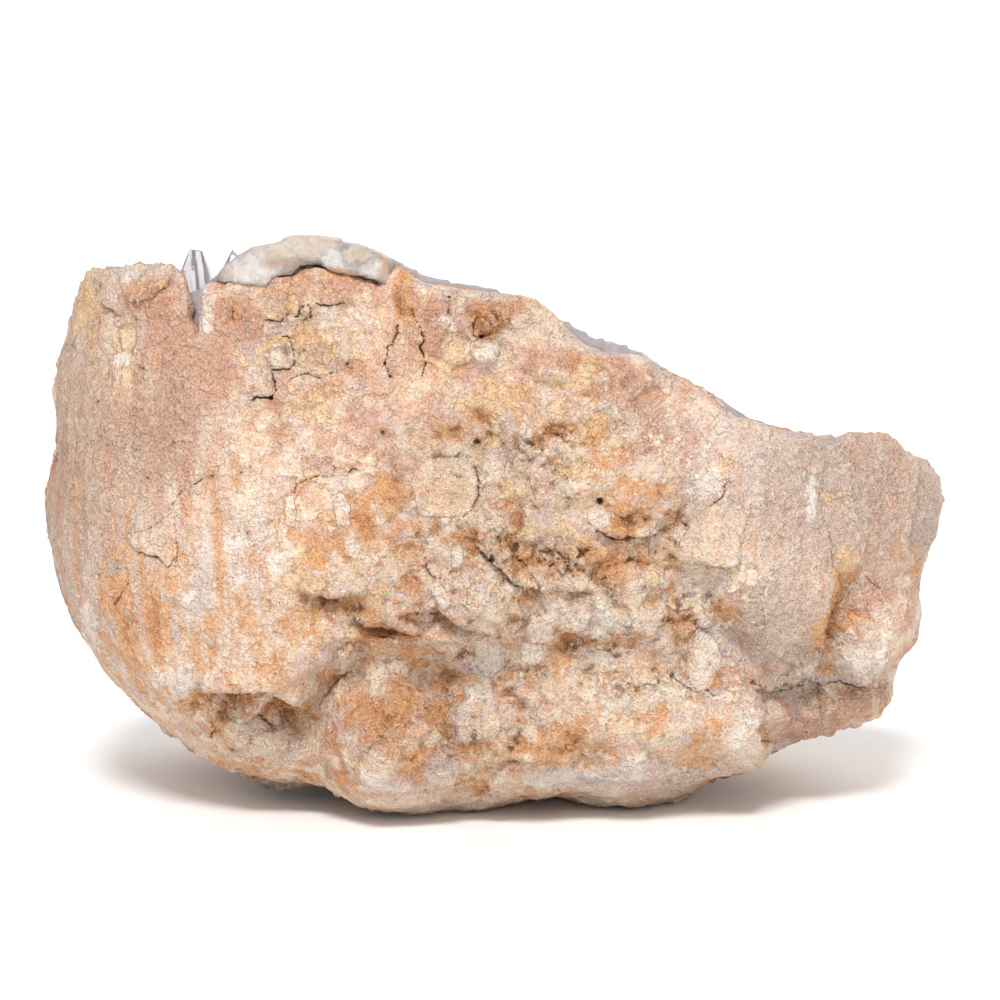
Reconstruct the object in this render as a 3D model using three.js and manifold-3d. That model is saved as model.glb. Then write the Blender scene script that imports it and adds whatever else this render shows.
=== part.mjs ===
// Half of a quartz geode, resting on a small natural flat under its lobes, with the hollow open
// upwards and to +Y. Millimetres, +Z up. The weathered outside of the tall wall faces -Y, and the
// origin is on the resting flat.
import * as THREE from "three";
import { mergeVertices } from "three/addons/utils/BufferGeometryUtils.js";
import { ImprovedNoise } from "three/addons/math/ImprovedNoise.js";
import Module from "manifold-3d";

const wasm = await Module();
wasm.setup();

// ---- Driving dimensions -------------------------------------------------------------------------

const stoneCentre = new THREE.Vector3(0, 0, 95);
const wallDepth = 84; // from the centre out to the general face of the tall wall, towards -Y
const lipDepth = 96; // from the centre out to the low lip, towards +Y
const wallSquareness = 2.9; // superellipse power of the section: 2 is an ellipse, more is boxier
const lipSquareness = 2.25;
const rindThickness = 9; // under the general surface; the lobes add to it
const quartzThickness = 16; // milky band and the crystals grown together on it
const seatGap = 0.3; // between pieces that touch
const creaseRadius = 3.5; // how softly two lobes meet
const lumpHeight = 1.6; // the uneven surface between the lobes
const lumpLength = 26;
const restingFlatLevel = 0;

// The stone's outline seen along +Y, anticlockwise from the right end, as (x, z). Above the broken rim
// it is the missing half's.
const outline = [
  [138, 104], [142.5, 96], [142, 84], [136, 72], [133, 62], [133.5, 52], [128, 42], [120, 29], [100, 20],
  [88, 13], [66, 7], [44, -3], [20, 0], [0, -4], [-25, -2], [-45, 4], [-62, 9], [-84, 13],
  [-104, 24], [-116, 37], [-124, 50], [-130.5, 63], [-133.5, 77], [-135, 93], [-132, 110], [-131.5, 130],
  [-127, 150], [-121, 173], [-108, 200], [-70, 226], [-20, 228], [35, 212], [85, 182], [120, 143],
];

// The tall wall overhangs its foot. Along x: the height where the overhang ends, and how far the foot
// stands back under it.
const overhang = [
  { x: -140, z: 26, back: 4 }, { x: -100, z: 34, back: 14 }, { x: -56, z: 38, back: 24 },
  { x: -46, z: 62, back: 18 }, { x: -28, z: 60, back: 16 }, { x: 2, z: 60, back: 12 },
  { x: 16, z: 72, back: 9 }, { x: 40, z: 78, back: 9 }, { x: 64, z: 86, back: 10 },
  { x: 82, z: 76, back: 11 }, { x: 98, z: 64, back: 18 }, { x: 140, z: 64, back: 20 },
];
const overhangHeight = 20; // over which the wall turns in under itself

// Lobes that stand out of the general surface: middle, half sizes along x, y and z, and a turn about Y
// in degrees.
const wallLobes = {
  rightEnd: { at: [131, -6, 90], half: [12, 34, 26], turn: 0 },
  buttress: { at: [-25, -44, 28], half: [27, 38, 29], turn: -8 },
  middleFoot: { at: [12, -42, 32], half: [30, 36, 28], turn: 12 },
  innerFoot: { at: [45, -42, 34], half: [27, 35, 30], turn: -14 },
  rightFoot: { at: [73, -38, 38], half: [20, 36, 30], turn: 14 },
  sideKnob: { at: [121, -18, 58], half: [17, 37, 17], turn: 0 },
  sideLedge: { at: [104, -12, 34], half: [27, 36, 13], turn: -8 },
  lowNub: { at: [88, -2, 23], half: [13, 26, 11], turn: -30 },
  soleLeft: { at: [-10, -14, 8], half: [34, 44, 13], turn: 0 },
  soleRight: { at: [44, -12, 9], half: [28, 42, 13], turn: 0 },
  underLeft: { at: [-70, -18, 30], half: [40, 46, 22], turn: -22 },
};
const lipLobes = {
  lipLeft: { at: [-78, 44, 52], half: [38, 46, 34], turn: 0 },
  lipMiddle: { at: [-18, 58, 44], half: [36, 44, 30], turn: 0 },
  lipInner: { at: [36, 56, 46], half: [32, 42, 27], turn: 0 },
  lipRight: { at: [84, 40, 56], half: [34, 42, 28], turn: 0 },
};

// The broken rim: height of the tall wall's edge along x, for the rind and for the quartz behind it.
const rindRim = [
  [-150, 170], [-124, 171.5], [-100, 173], [-92, 171.5], [-87, 167], [-80, 166.5], [-68, 170.5], [-56, 172],
  [-43, 170], [-28.5, 165], [-25, 174], [-16, 168.5], [0, 167], [16, 162.5], [25, 156.5], [33, 150],
  [43, 146], [54, 141], [66, 135], [76, 129.5], [86, 125], [93, 121.5], [101, 119.5], [107, 117],
  [112, 118.5], [120, 119.5], [127, 118], [131, 112], [135, 107.5], [150, 104],
];
const quartzRim = [
  [-150, 166], [-100, 168], [-92, 167], [-86, 163], [-80, 171], [-76, 176], [-68.5, 179], [-60, 181.5],
  [-50, 182], [-41, 180.2], [-33, 178], [-25, 173], [-16, 167.5], [0, 165.5], [16, 161.5], [25, 153.5],
  [33, 149], [43, 145.5], [54, 140.5], [66, 133], [76, 127.5], [86, 124], [101, 118], [107, 116.5],
  [114, 117], [129, 115.5], [138, 109], [150, 104],
];
const rimDepth = { middle: -66, ends: -6 }; // the tall wall's edge, which comes round at both ends
const rimEndX = 142;
const lipEdge = { depth: 90, leftHeight: 66, rightHeight: 50 }; // the low edge of the break
const rimRoughness = 2.2;
const rimGrain = 11;
const hollowLumps = { height: 2, perRadius: 4 }; // unevenness of the quartz under its points

// A chip in the rim, down to the quartz: a slot that widens upwards.
const notch = { x: -86.5, foot: 151, height: 40, topWidth: 11, footWidth: 4.5, reach: 26 };

// Large quartz points on the hollow's wall. Each cluster is a tall point with smaller ones grown into
// its sides.
const clusterCount = 26;
const pointRadius = { least: 3.4, most: 6.6 };
const pointLength = { least: 12, most: 24 };
const sidePoints = 2;
const clusterSpacing = 7; // clear space between neighbouring clusters
const belowRim = 9; // how far under the broken edge a cluster's foot stands at least
const rootDepth = 6; // how far a point reaches back into the wall before it is cut off there
const rimPoints = {
  crystal_rim_tall: {
    foot: new THREE.Vector3(-85, -50, 145),
    tip: new THREE.Vector3(-87, -43, 177),
    radius: 6.2,
  },
  crystal_rim_short: {
    foot: new THREE.Vector3(-71, -54, 146),
    tip: new THREE.Vector3(-75.5, -45, 173.5),
    radius: 5,
  },
};

// ---- Solids -------------------------------------------------------------------------------------

const noise = new ImprovedNoise();

// A geometry's positions alone, with its shared corners made one.
function merge(geometry) {
  const bare = new THREE.BufferGeometry().setAttribute("position", geometry.getAttribute("position"));
  if (geometry.index) bare.setIndex(geometry.index);
  return mergeVertices(bare, 1e-3);
}

function solidOf(geometry) {
  const merged = merge(geometry);
  return new wasm.Manifold(
    new wasm.Mesh({
      numProp: 3,
      vertProperties: merged.attributes.position.array,
      triVerts: new Uint32Array(merged.index.array),
    }),
  );
}

function geometryOf(solid) {
  const mesh = solid.getMesh();
  const geometry = new THREE.BufferGeometry();
  geometry.setAttribute("position", new THREE.BufferAttribute(new Float32Array(mesh.vertProperties), 3));
  geometry.setIndex(new THREE.BufferAttribute(new Uint32Array(mesh.triVerts), 1));
  geometry.computeVertexNormals();
  return geometry;
}

// A height read off a list of (x, height) points, straight between them.
function heightAlong(points, x) {
  const last = points.length - 1;
  if (x <= points[0][0]) return points[0][1];
  if (x >= points[last][0]) return points[last][1];
  const i = points.findIndex(([px]) => px > x) - 1;
  const share = (x - points[i][0]) / (points[i + 1][0] - points[i][0]);
  return THREE.MathUtils.lerp(points[i][1], points[i + 1][1], share);
}

// The outline's distance from the centre in each direction round the Y axis.
const outlineSteps = 720;
const outlineRadius = (() => {
  const curve = new THREE.CatmullRomCurve3(
    outline.map(([x, z]) => new THREE.Vector3(x - stoneCentre.x, 0, z - stoneCentre.z)),
    true,
  );
  const polar = curve
    .getSpacedPoints(outlineSteps)
    .map((p) => ({ angle: Math.atan2(p.z, p.x), radius: Math.hypot(p.x, p.z) }))
    .sort((a, b) => a.angle - b.angle);
  const first = polar[0];
  const last = polar[polar.length - 1];
  polar.unshift({ angle: last.angle - 2 * Math.PI, radius: last.radius });
  polar.push({ angle: first.angle + 2 * Math.PI, radius: first.radius });
  return (angle) => heightAlong(polar.map((p) => [p.angle, p.radius]), angle);
})();

// How far the general surface is from the centre along a unit direction, with the tall wall's face at
// a given depth.
function bodyDistance(d, depthOfWall = wallDepth) {
  const inPlane = Math.hypot(d.x, d.z) / outlineRadius(Math.atan2(d.z, d.x));
  const depth = Math.abs(d.y) / (d.y < 0 ? depthOfWall : lipDepth);
  const power = d.y < 0 ? wallSquareness : lipSquareness;
  return (inPlane ** power + depth ** power) ** (-1 / power);
}

// The general surface with the tall wall's foot set back under its overhang.
function overhungDistance(d) {
  const plain = bodyDistance(d);
  if (d.y >= 0) return plain;
  const x = stoneCentre.x + plain * d.x;
  const z = stoneCentre.z + plain * d.z;
  const end = heightAlong(overhang.map((o) => [o.x, o.z]), x);
  const back = heightAlong(overhang.map((o) => [o.x, o.back]), x);
  const under = 1 - THREE.MathUtils.smoothstep(z, end - overhangHeight, end);
  return bodyDistance(d, wallDepth - back * under);
}

// How far out a ray from the centre leaves a lobe, or 0 where it misses.
function lobeDistance(lobe, d) {
  const turn = THREE.MathUtils.degToRad(lobe.turn);
  const axis = new THREE.Vector3(0, 1, 0);
  const half = new THREE.Vector3(...lobe.half);
  const start = stoneCentre.clone().sub(new THREE.Vector3(...lobe.at));
  start.applyAxisAngle(axis, turn).divide(half);
  const along = d.clone().applyAxisAngle(axis, turn).divide(half);
  const a = along.dot(along);
  const b = start.dot(along);
  const c = start.dot(start) - 1;
  const root = b * b - a * c;
  return root < 0 ? 0 : (-b + Math.sqrt(root)) / a;
}

function softMax(a, b, width) {
  const h = Math.max(width - Math.abs(a - b), 0) / width;
  return Math.max(a, b) + (h * h * width) / 4;
}

function stoneDistance(d) {
  const lobes = [...Object.values(wallLobes), ...Object.values(lipLobes)];
  const join = (r, lobe) => softMax(r, lobeDistance(lobe, d), creaseRadius);
  const lobed = lobes.reduce(join, overhungDistance(d));
  const p = d.clone().multiplyScalar(lobed / lumpLength);
  return lobed + lumpHeight * noise.noise(p.x, p.y, p.z);
}

// A closed surface round the centre, whose distance in each direction is given. Its points are spread
// as on an ellipsoid of the stone's own proportions, so that its triangles are of one size.
function shellSolid(distance, detail) {
  const geometry = new THREE.IcosahedronGeometry(1, detail);
  const spread = new THREE.Vector3(137, 88, 100);
  const position = geometry.getAttribute("position");
  const p = new THREE.Vector3();
  for (let i = 0; i < position.count; i++) {
    p.fromBufferAttribute(position, i).multiply(spread).normalize();
    p.multiplyScalar(distance(p)).add(stoneCentre);
    position.setXYZ(i, p.x, p.y, p.z);
  }
  return solidOf(geometry);
}

function rimDepthAt(x) {
  return THREE.MathUtils.lerp(rimDepth.middle, rimDepth.ends, Math.min(Math.abs(x) / rimEndX, 1) ** 5);
}

// The height of a broken surface that falls from the tall wall's rim to the low lip.
function breakHeight(rim, x, y) {
  const lipHeight = THREE.MathUtils.mapLinear(x, -140, 140, lipEdge.leftHeight, lipEdge.rightHeight);
  const fall = THREE.MathUtils.mapLinear(y, rimDepthAt(x), lipEdge.depth, 0, 1);
  return THREE.MathUtils.lerp(heightAlong(rim, x), lipHeight, Math.max(fall, 0));
}

// Everything above a broken surface.
function breakSolid(rim) {
  const size = { x: 310, y: 250, z: 200 };
  const steps = { x: 50, y: 14 };
  const geometry = new THREE.BoxGeometry(size.x, size.y, size.z, steps.x, steps.y, 1);
  const position = geometry.getAttribute("position");
  for (let i = 0; i < position.count; i++) {
    const x = position.getX(i);
    const y = position.getY(i);
    const away = THREE.MathUtils.clamp((y - rimDepthAt(x)) / rimGrain, 0, 1);
    const rough = rimRoughness * away * noise.noise(x / rimGrain, y / rimGrain, 7.3);
    const height = breakHeight(rim, x, y) + rough;
    position.setZ(i, position.getZ(i) < 0 ? height : height + size.z);
  }
  return solidOf(geometry);
}

// The chip in the rim: a tapering slot through the rind, open upwards.
function notchSolid() {
  const shape = new THREE.Shape();
  shape.moveTo(-notch.footWidth / 2, 0);
  shape.lineTo(notch.footWidth / 2, 0);
  shape.lineTo(notch.topWidth / 2, notch.height);
  shape.lineTo(-notch.topWidth / 2, notch.height);
  shape.closePath();
  const geometry = new THREE.ExtrudeGeometry(shape, { depth: notch.reach, bevelEnabled: false });
  geometry.rotateX(Math.PI / 2);
  geometry.translate(notch.x, rimDepthAt(notch.x) + notch.reach / 2, notch.foot);
  return solidOf(geometry);
}

// A quartz point standing on z = 0: a slightly uneven six-sided prism under a six-faced tip whose
// faces alternate in size, as rhombohedron faces do.
function pointGeometry(radius, length, unevenness, turn) {
  const tip = radius * 1.35;
  const geometry = merge(new THREE.CylinderGeometry(radius * 0.94, radius, length - tip, 6, 1));
  geometry.rotateX(Math.PI / 2);
  geometry.translate(0, 0, (length - tip) / 2);
  const position = geometry.getAttribute("position");
  for (let i = 0; i < position.count; i++) {
    const top = position.getZ(i) > (length - tip) * 0.9;
    const onAxis = Math.hypot(position.getX(i), position.getY(i)) < radius * 0.1;
    const corner = Math.round((Math.atan2(position.getY(i), position.getX(i)) * 3) / Math.PI + 6) % 2;
    const shoulder = length - tip + (corner ? 0.28 : -0.12) * radius * unevenness;
    if (top) position.setZ(i, onAxis ? length : shoulder);
    if (top && onAxis) position.setX(i, radius * 0.22 * unevenness);
  }
  geometry.scale(1, 1 - 0.16 * unevenness, 1);
  geometry.rotateZ(turn);
  return geometry;
}

// Turns and moves a solid's geometry that stands on z = 0 so that it stands at a place, along a
// direction.
function standAt(geometry, place, along) {
  const up = new THREE.Vector3(0, 0, 1);
  geometry.applyQuaternion(new THREE.Quaternion().setFromUnitVectors(up, along.clone().normalize()));
  geometry.translate(place.x, place.y, place.z);
  return geometry;
}

// ---- The stone and its quartz lining ------------------------------------------------------------

const rindDetail = 11;
const liningDetail = 7;
const stone = shellSolid(stoneDistance, rindDetail);
const rindInside = shellSolid((d) => overhungDistance(d) - rindThickness, liningDetail);
const quartzOutside = shellSolid((d) => overhungDistance(d) - rindThickness - seatGap, liningDetail);
const hollowDistance = (d, gap) => {
  const p = d.clone().multiplyScalar(hollowLumps.perRadius);
  const lump = hollowLumps.height * noise.noise(p.x, p.y, p.z);
  return overhungDistance(d) - rindThickness - quartzThickness - gap + lump;
};
const hollow = shellSolid((d) => hollowDistance(d, 0), liningDetail);
const hollowForPoints = shellSolid((d) => hollowDistance(d, seatGap), liningDetail);
const below = solidOf(new THREE.BoxGeometry(400, 400, 100).translate(0, 0, restingFlatLevel - 50));
const quartzBreak = breakSolid(quartzRim);

const rind = stone
  .subtract(rindInside)
  .subtract(breakSolid(rindRim))
  .subtract(notchSolid())
  .subtract(below);
const lining = quartzOutside.subtract(hollow).subtract(quartzBreak);

// ---- Quartz points ------------------------------------------------------------------------------

let seed = 20;
const random = () => THREE.MathUtils.seededRandom(seed++);
const between = ({ least, most }) => THREE.MathUtils.lerp(least, most, random());

function inwardAt(d) {
  const step = 0.02;
  const side = new THREE.Vector3(d.z, 0.3, -d.x).cross(d).normalize();
  const other = new THREE.Vector3().crossVectors(d, side).normalize();
  const at = (v) => v.clone().normalize().multiplyScalar(hollowDistance(v.clone().normalize(), 0));
  const here = at(d);
  const one = at(d.clone().addScaledVector(side, step)).sub(here);
  const two = at(d.clone().addScaledVector(other, step)).sub(here);
  const normal = one.cross(two).normalize();
  return normal.dot(d) > 0 ? normal.negate() : normal;
}

// The closest that two points' axes come to each other, sampled along both.
function clearance(a, b) {
  let least = Infinity;
  for (let i = 0; i <= 6; i++) {
    for (let j = 0; j <= 6; j++) {
      const p = a.foot.clone().addScaledVector(a.along, (a.length * i) / 6);
      const q = b.foot.clone().addScaledVector(b.along, (b.length * j) / 6);
      least = Math.min(least, p.distanceTo(q));
    }
  }
  return least - a.spread - b.spread;
}

function clusterSolid(cluster) {
  const main = pointGeometry(cluster.radius, cluster.length + rootDepth, cluster.unevenness, cluster.turn);
  const root = cluster.foot.clone().addScaledVector(cluster.along, -rootDepth);
  let solid = solidOf(standAt(main, root, cluster.along));
  for (let k = 0; k < sidePoints; k++) {
    const angle = cluster.turn + (k * 2 * Math.PI) / sidePoints + 0.6;
    const sideways = new THREE.Vector3(Math.cos(angle), Math.sin(angle), 0);
    const frame = new THREE.Quaternion().setFromUnitVectors(new THREE.Vector3(0, 0, 1), cluster.along);
    sideways.applyQuaternion(frame);
    const radius = cluster.radius * (0.62 - 0.12 * k);
    const length = cluster.length * (0.62 - 0.1 * k) + rootDepth;
    const foot = cluster.foot
      .clone()
      .addScaledVector(cluster.along, -rootDepth)
      .addScaledVector(sideways, cluster.radius * 0.62);
    const along = cluster.along.clone().addScaledVector(sideways, 0.34).normalize();
    solid = solid.add(solidOf(standAt(pointGeometry(radius, length, 0.6, angle * 2), foot, along)));
  }
  return solid;
}

const clusters = [];
for (let tries = 0; clusters.length < clusterCount && tries < 6000; tries++) {
  const d = new THREE.Vector3(2 * random() - 1, 2 * random() - 1, 2 * random() - 1);
  if (d.length() > 1 || d.length() < 0.1) continue;
  d.normalize();
  const foot = d.clone().multiplyScalar(hollowDistance(d, 0)).add(stoneCentre);
  if (breakHeight(rindRim, foot.x, foot.y) - foot.z < belowRim) continue;
  const along = inwardAt(d);
  along.x += 0.3 * (random() - 0.5);
  along.z += 0.3 * (random() - 0.5) + 0.12;
  along.normalize();
  const radius = between(pointRadius);
  const length = between(pointLength) * (0.6 + (0.4 * radius) / pointRadius.most);
  const cluster = { foot, along, radius, length, spread: radius * 1.45 + clusterSpacing / 2 };
  cluster.unevenness = 0.5 + random();
  cluster.turn = random() * Math.PI;
  if (clusters.every((other) => clearance(cluster, other) > 0)) clusters.push(cluster);
}

// ---- The assembly -------------------------------------------------------------------------------

const rindMaterial = new THREE.MeshStandardMaterial({ color: 0xe0c3a4, roughness: 0.95, metalness: 0 });
const liningMaterial = new THREE.MeshStandardMaterial({ color: 0xd8d4d2, roughness: 0.35, metalness: 0 });
const quartzMaterial = new THREE.MeshStandardMaterial({ color: 0xe6e4e6, roughness: 0.12, metalness: 0 });

const geode = new THREE.Group();

function addPiece(name, solid, material) {
  const mesh = new THREE.Mesh(geometryOf(solid), material);
  mesh.name = name;
  geode.add(mesh);
}

addPiece("rind", rind, rindMaterial);
addPiece("quartz_lining", lining, liningMaterial);
clusters.forEach((cluster, i) => {
  const name = `crystal_${String(i + 1).padStart(2, "0")}`;
  addPiece(name, clusterSolid(cluster).intersect(hollowForPoints), quartzMaterial);
});
for (const [name, { foot, tip, radius }] of Object.entries(rimPoints)) {
  const along = tip.clone().sub(foot);
  const solid = solidOf(standAt(pointGeometry(radius, along.length(), 0.8, 0.3), foot, along));
  addPiece(name, solid.intersect(hollowForPoints), quartzMaterial);
}

export default geode;
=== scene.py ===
import math
import random

import bmesh
import bpy
import numpy as np
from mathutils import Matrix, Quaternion, Vector, noise
from mathutils.bvhtree import BVHTree
from mathutils.kdtree import KDTree


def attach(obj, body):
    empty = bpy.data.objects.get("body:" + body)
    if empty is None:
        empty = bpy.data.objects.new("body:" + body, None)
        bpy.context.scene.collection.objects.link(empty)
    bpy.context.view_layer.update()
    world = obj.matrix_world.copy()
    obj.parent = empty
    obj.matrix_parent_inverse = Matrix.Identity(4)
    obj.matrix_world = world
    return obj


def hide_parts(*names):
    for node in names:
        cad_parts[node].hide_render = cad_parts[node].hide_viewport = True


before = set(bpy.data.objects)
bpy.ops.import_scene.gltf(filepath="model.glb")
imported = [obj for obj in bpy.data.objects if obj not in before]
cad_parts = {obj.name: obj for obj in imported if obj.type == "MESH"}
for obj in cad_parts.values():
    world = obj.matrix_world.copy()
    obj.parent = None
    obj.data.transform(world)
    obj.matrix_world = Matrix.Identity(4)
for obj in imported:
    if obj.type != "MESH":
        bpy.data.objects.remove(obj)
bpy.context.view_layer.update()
print("frame loaded")

millimetre = 0.001

cameraValues = {
    "target": (0.0063, 0.0, 0.0907),
    "distance": 1.4,
    "elevation": 8.0,
    "lens": 160.0,
    "sensor": 36,
}
rise = math.radians(cameraValues["elevation"])

# places on the stone's front are given as (across, down) on a view 1000 wide and 1000 high,
# as the camera above sees it
viewSteps = 1000
viewMiddle = 500
stepSize = 0.302  # millimetres on the stone's front wall
farAway = 1e6


def frontView(points):
    offset = points - np.array(cameraValues["target"])
    depth = cameraValues["distance"] + offset[:, 1] * math.cos(rise) - offset[:, 2] * math.sin(rise)
    scale = viewSteps * cameraValues["lens"] / cameraValues["sensor"] / depth
    across = viewMiddle + scale * offset[:, 0]
    down = viewMiddle - scale * (offset[:, 1] * math.sin(rise) + offset[:, 2] * math.cos(rise))
    return np.column_stack((across, down))


def towardsCamera():
    return np.array((0, -math.cos(rise), math.sin(rise)))


def smoothStep(low, high, values):
    t = np.clip((values - low) / (high - low), 0, 1)
    return t * t * (3 - 2 * t)


def colour(red, green, blue):
    def linear(level):
        level /= 255
        return level / 12.92 if level <= 0.04045 else ((level + 0.055) / 1.055) ** 2.4
    return (linear(red), linear(green), linear(blue), 1)


# mesh tools

def meshArray(collection, name):
    values = np.empty(len(collection) * 3, np.float32)
    collection.foreach_get(name, values)
    return values.reshape(-1, 3).astype(float)


def setPoints(piece, points):
    piece.data.vertices.foreach_set("co", points.astype(np.float32).ravel())
    piece.data.update()


def selectOnly(piece):
    bpy.ops.object.select_all(action="DESELECT")
    piece.select_set(True)
    bpy.context.view_layer.objects.active = piece


def copyOfNode(name, pieceName):
    piece = bpy.data.objects.new(pieceName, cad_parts[name].data.copy())
    bpy.context.collection.objects.link(piece)
    piece.data.materials.clear()
    selectOnly(piece)
    bpy.ops.object.mode_set(mode="EDIT")
    bpy.ops.mesh.select_all(action="SELECT")
    bpy.ops.mesh.remove_doubles(threshold=0.01 * millimetre)
    bpy.ops.object.mode_set(mode="OBJECT")
    return piece


def applyModifier(piece, kind, **settings):
    modifier = piece.modifiers.new(kind.lower(), kind)
    for key, value in settings.items():
        setattr(modifier, key, value)
    bpy.context.view_layer.objects.active = piece
    bpy.ops.object.modifier_apply(modifier=modifier.name)


def refine(piece, picked):
    selectFaces(piece, picked)
    bpy.ops.object.mode_set(mode="EDIT")
    bpy.ops.mesh.subdivide(number_cuts=1)
    bpy.ops.object.mode_set(mode="OBJECT")


def weightGroup(piece, name, weights, steps=20):
    group = piece.vertex_groups.new(name=name)
    levels = np.round(weights * steps).astype(int)
    for level in range(1, steps + 1):
        members = np.nonzero(levels == level)[0].tolist()
        if members:
            group.add(members, level / steps, "REPLACE")


def writeField(piece, name, values):
    field = piece.data.attributes.new(name, "FLOAT", "POINT")
    field.data.foreach_set("value", np.asarray(values, np.float32))


def pull(piece, distance):
    # moves every vertex along its normal, in millimetres
    points = meshArray(piece.data.vertices, "co")
    normals = meshArray(piece.data.vertex_normals, "vector")
    setPoints(piece, points + normals * distance[:, None] * millimetre)


def relaxed(piece, rounds):
    points = meshArray(piece.data.vertices, "co")
    edges = np.empty(len(piece.data.edges) * 2, np.int32)
    piece.data.edges.foreach_get("vertices", edges)
    first, second = edges.reshape(-1, 2).T
    total = len(points)
    count = np.bincount(first, minlength=total) + np.bincount(second, minlength=total)
    for _ in range(rounds):
        sums = [np.bincount(first, points[second, k], total) + np.bincount(second, points[first, k], total)
                for k in range(3)]
        points = np.column_stack([column / count for column in sums])
    return points


noiseValues = {"seedShift": (7.31, 3.77, 5.13), "octaveHeight": 0.75, "octaveSize": 2.1}


def noiseOf(points, size, seed=0.0, octaves=1, upright=1.0):
    # size in millimetres; upright above 1 draws the pattern out vertically
    shift = seed * np.array(noiseValues["seedShift"])
    scaled = points / (size * millimetre) * np.array((1, 1, 1 / upright)) + shift
    if octaves == 1:
        return np.array([noise.noise(Vector(p)) for p in scaled])
    octave = noiseValues["octaveHeight"], noiseValues["octaveSize"]
    return np.array([noise.fractal(Vector(p), *octave, octaves) for p in scaled])


def sharpEdges(name, degrees):
    # the CAD edges sharper than an angle, as a tree of places along them
    probe = copyOfNode(name, "probe")
    shape = bmesh.new()
    shape.from_mesh(probe.data)
    places = []
    for edge in shape.edges:
        if len(edge.link_faces) == 2 and edge.calc_face_angle() > math.radians(degrees):
            first, second = edge.verts[0].co, edge.verts[1].co
            count = max(1, int((second - first).length / millimetre))
            places += [first.lerp(second, k / count) for k in range(count + 1)]
    shape.free()
    bpy.data.objects.remove(probe)
    tree = KDTree(len(places))
    for index, place in enumerate(places):
        tree.insert(place, index)
    tree.balance()
    return tree


def edgeDistance(tree, points):
    return np.array([tree.find(Vector(p))[2] for p in points]) / millimetre


# drawing on the front

def lineDistance(points, line):
    # distance to a line, which side (positive below or right of its direction) and how far along, 0 to 1
    line = np.array(line, float)
    steps = np.hypot(*(line[1:] - line[:-1]).T)
    total = steps.sum()
    best = np.full(len(points), farAway)
    side = np.zeros(len(points))
    along = np.zeros(len(points))
    done = 0
    for start, end, step in zip(line[:-1], line[1:], steps):
        direction = end - start
        t = np.clip((points - start) @ direction / (step * step), 0, 1)
        away = points - start - t[:, None] * direction
        distance = np.hypot(away[:, 0], away[:, 1])
        nearer = distance < best
        best[nearer] = distance[nearer]
        side[nearer] = np.sign(direction[0] * away[nearer, 1] - direction[1] * away[nearer, 0])
        along[nearer] = (done + t[nearer] * step) / total
        done += step
    return best, side, along


def insideOf(points, outline):
    # signed distance to a closed outline, positive inside
    inside = np.zeros(len(points), bool)
    x, y = points.T
    for (ax, ay), (bx, by) in zip(outline, outline[1:] + outline[:1]):
        if ay != by:
            inside ^= ((ay > y) != (by > y)) & (x < (bx - ax) * (y - ay) / (by - ay) + ax)
    distance = lineDistance(points, outline + outline[:1])[0]
    return np.where(inside, distance, -distance)


def ellipseRadius(points, x, y, halfWidth, halfHeight, turn):
    angle = math.radians(turn)
    dx, dy = points[:, 0] - x, points[:, 1] - y
    u = (dx * math.cos(angle) + dy * math.sin(angle)) / halfWidth
    v = (dy * math.cos(angle) - dx * math.sin(angle)) / halfHeight
    return np.hypot(u, v)


def patchField(points, patches):
    field = np.full(len(points), -1.0)
    for x, y, halfWidth, halfHeight, turn, strength in patches:
        field = np.maximum(field, strength * (1 - ellipseRadius(points, x, y, halfWidth, halfHeight, turn)))
    return field


# the weathered rind

rindShape = {
    "voxel": 2.4,
    "smoothing": 5,
    "sharpFrom": 1.0,
    "sharpTo": 6.0,
    "sharpAngle": 42,
    "hiddenWithin": 1.6,
    "hiddenShare": 0.1,
    "fineNearMarks": 3,
    "finestNearCracks": 1.3,
    "craggyFrom": 0.25,
    "swellings": 1.0,
    "ledges": 1.7,
    "plates": 0.7,
    "crackWidth": 0.46,
    "crackDepth": 1.05,
}
# the rim's fit: in steps of the front view, and the ragged noise's size in millimetres
rimFit = {"column": 3.0, "mostShift": 14, "smoothOver": 7, "fadeBelow": 40, "raggedSize": 3.5, "raggedFade": 6}

# the crust's own roughness: size and height of each layer of broken skin, in millimetres
skinLayers = {
    "skinBroad": {"size": 15, "height": 1.3, "octaves": 6, "seed": 3, "sharpness": 0.05},
    "skinMiddle": {"size": 7, "height": 0.8, "octaves": 5, "seed": 9, "sharpness": 0.07},
}
lumps = [(30, 1.2, 1), (11, 0.8, 2), (4.5, 0.55, 4), (2.4, 0.35, 5)]

# rounded bulges with creases between them, and broken blocks: size, height, seed
bulges = [(30, 3.6, 31), (13, 1.5, 32), (5.5, 0.6, 33)]
blocks = [(9.0, 1.5, 41), (4.2, 0.7, 42)]

# the broken rim seen from the front: across and down, how far back it is fitted in metres, and how ragged
rimProfiles = [
    ([
        (74, 300), (80, 276), (86, 268), (110, 265), (150, 266), (160, 265), (168, 264), (176, 265), (184, 271),
    ], -0.02, 0.0),
    ([
        (220, 282), (230, 280), (238, 282), (256, 285), (268, 286), (274, 277), (281, 275), (293, 275), (302, 267),
        (320, 265), (328, 270), (348, 275), (360, 276), (373, 280), (383, 284), (390, 270), (396, 262),
    ], -0.05, 4.0),
    ([
        (400, 264), (412, 272), (420, 280), (432, 283), (450, 285), (490, 292), (516, 295), (530, 295), (550, 308),
        (562, 320), (572, 334), (590, 346), (612, 352), (630, 353), (645, 356), (660, 368), (680, 375), (690, 379),
        (716, 396), (724, 412), (736, 414), (770, 424), (790, 429), (818, 433), (826, 444), (834, 440), (842, 432),
        (870, 431), (890, 434), (905, 446),
    ], -0.02, 0.0),
]

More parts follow.
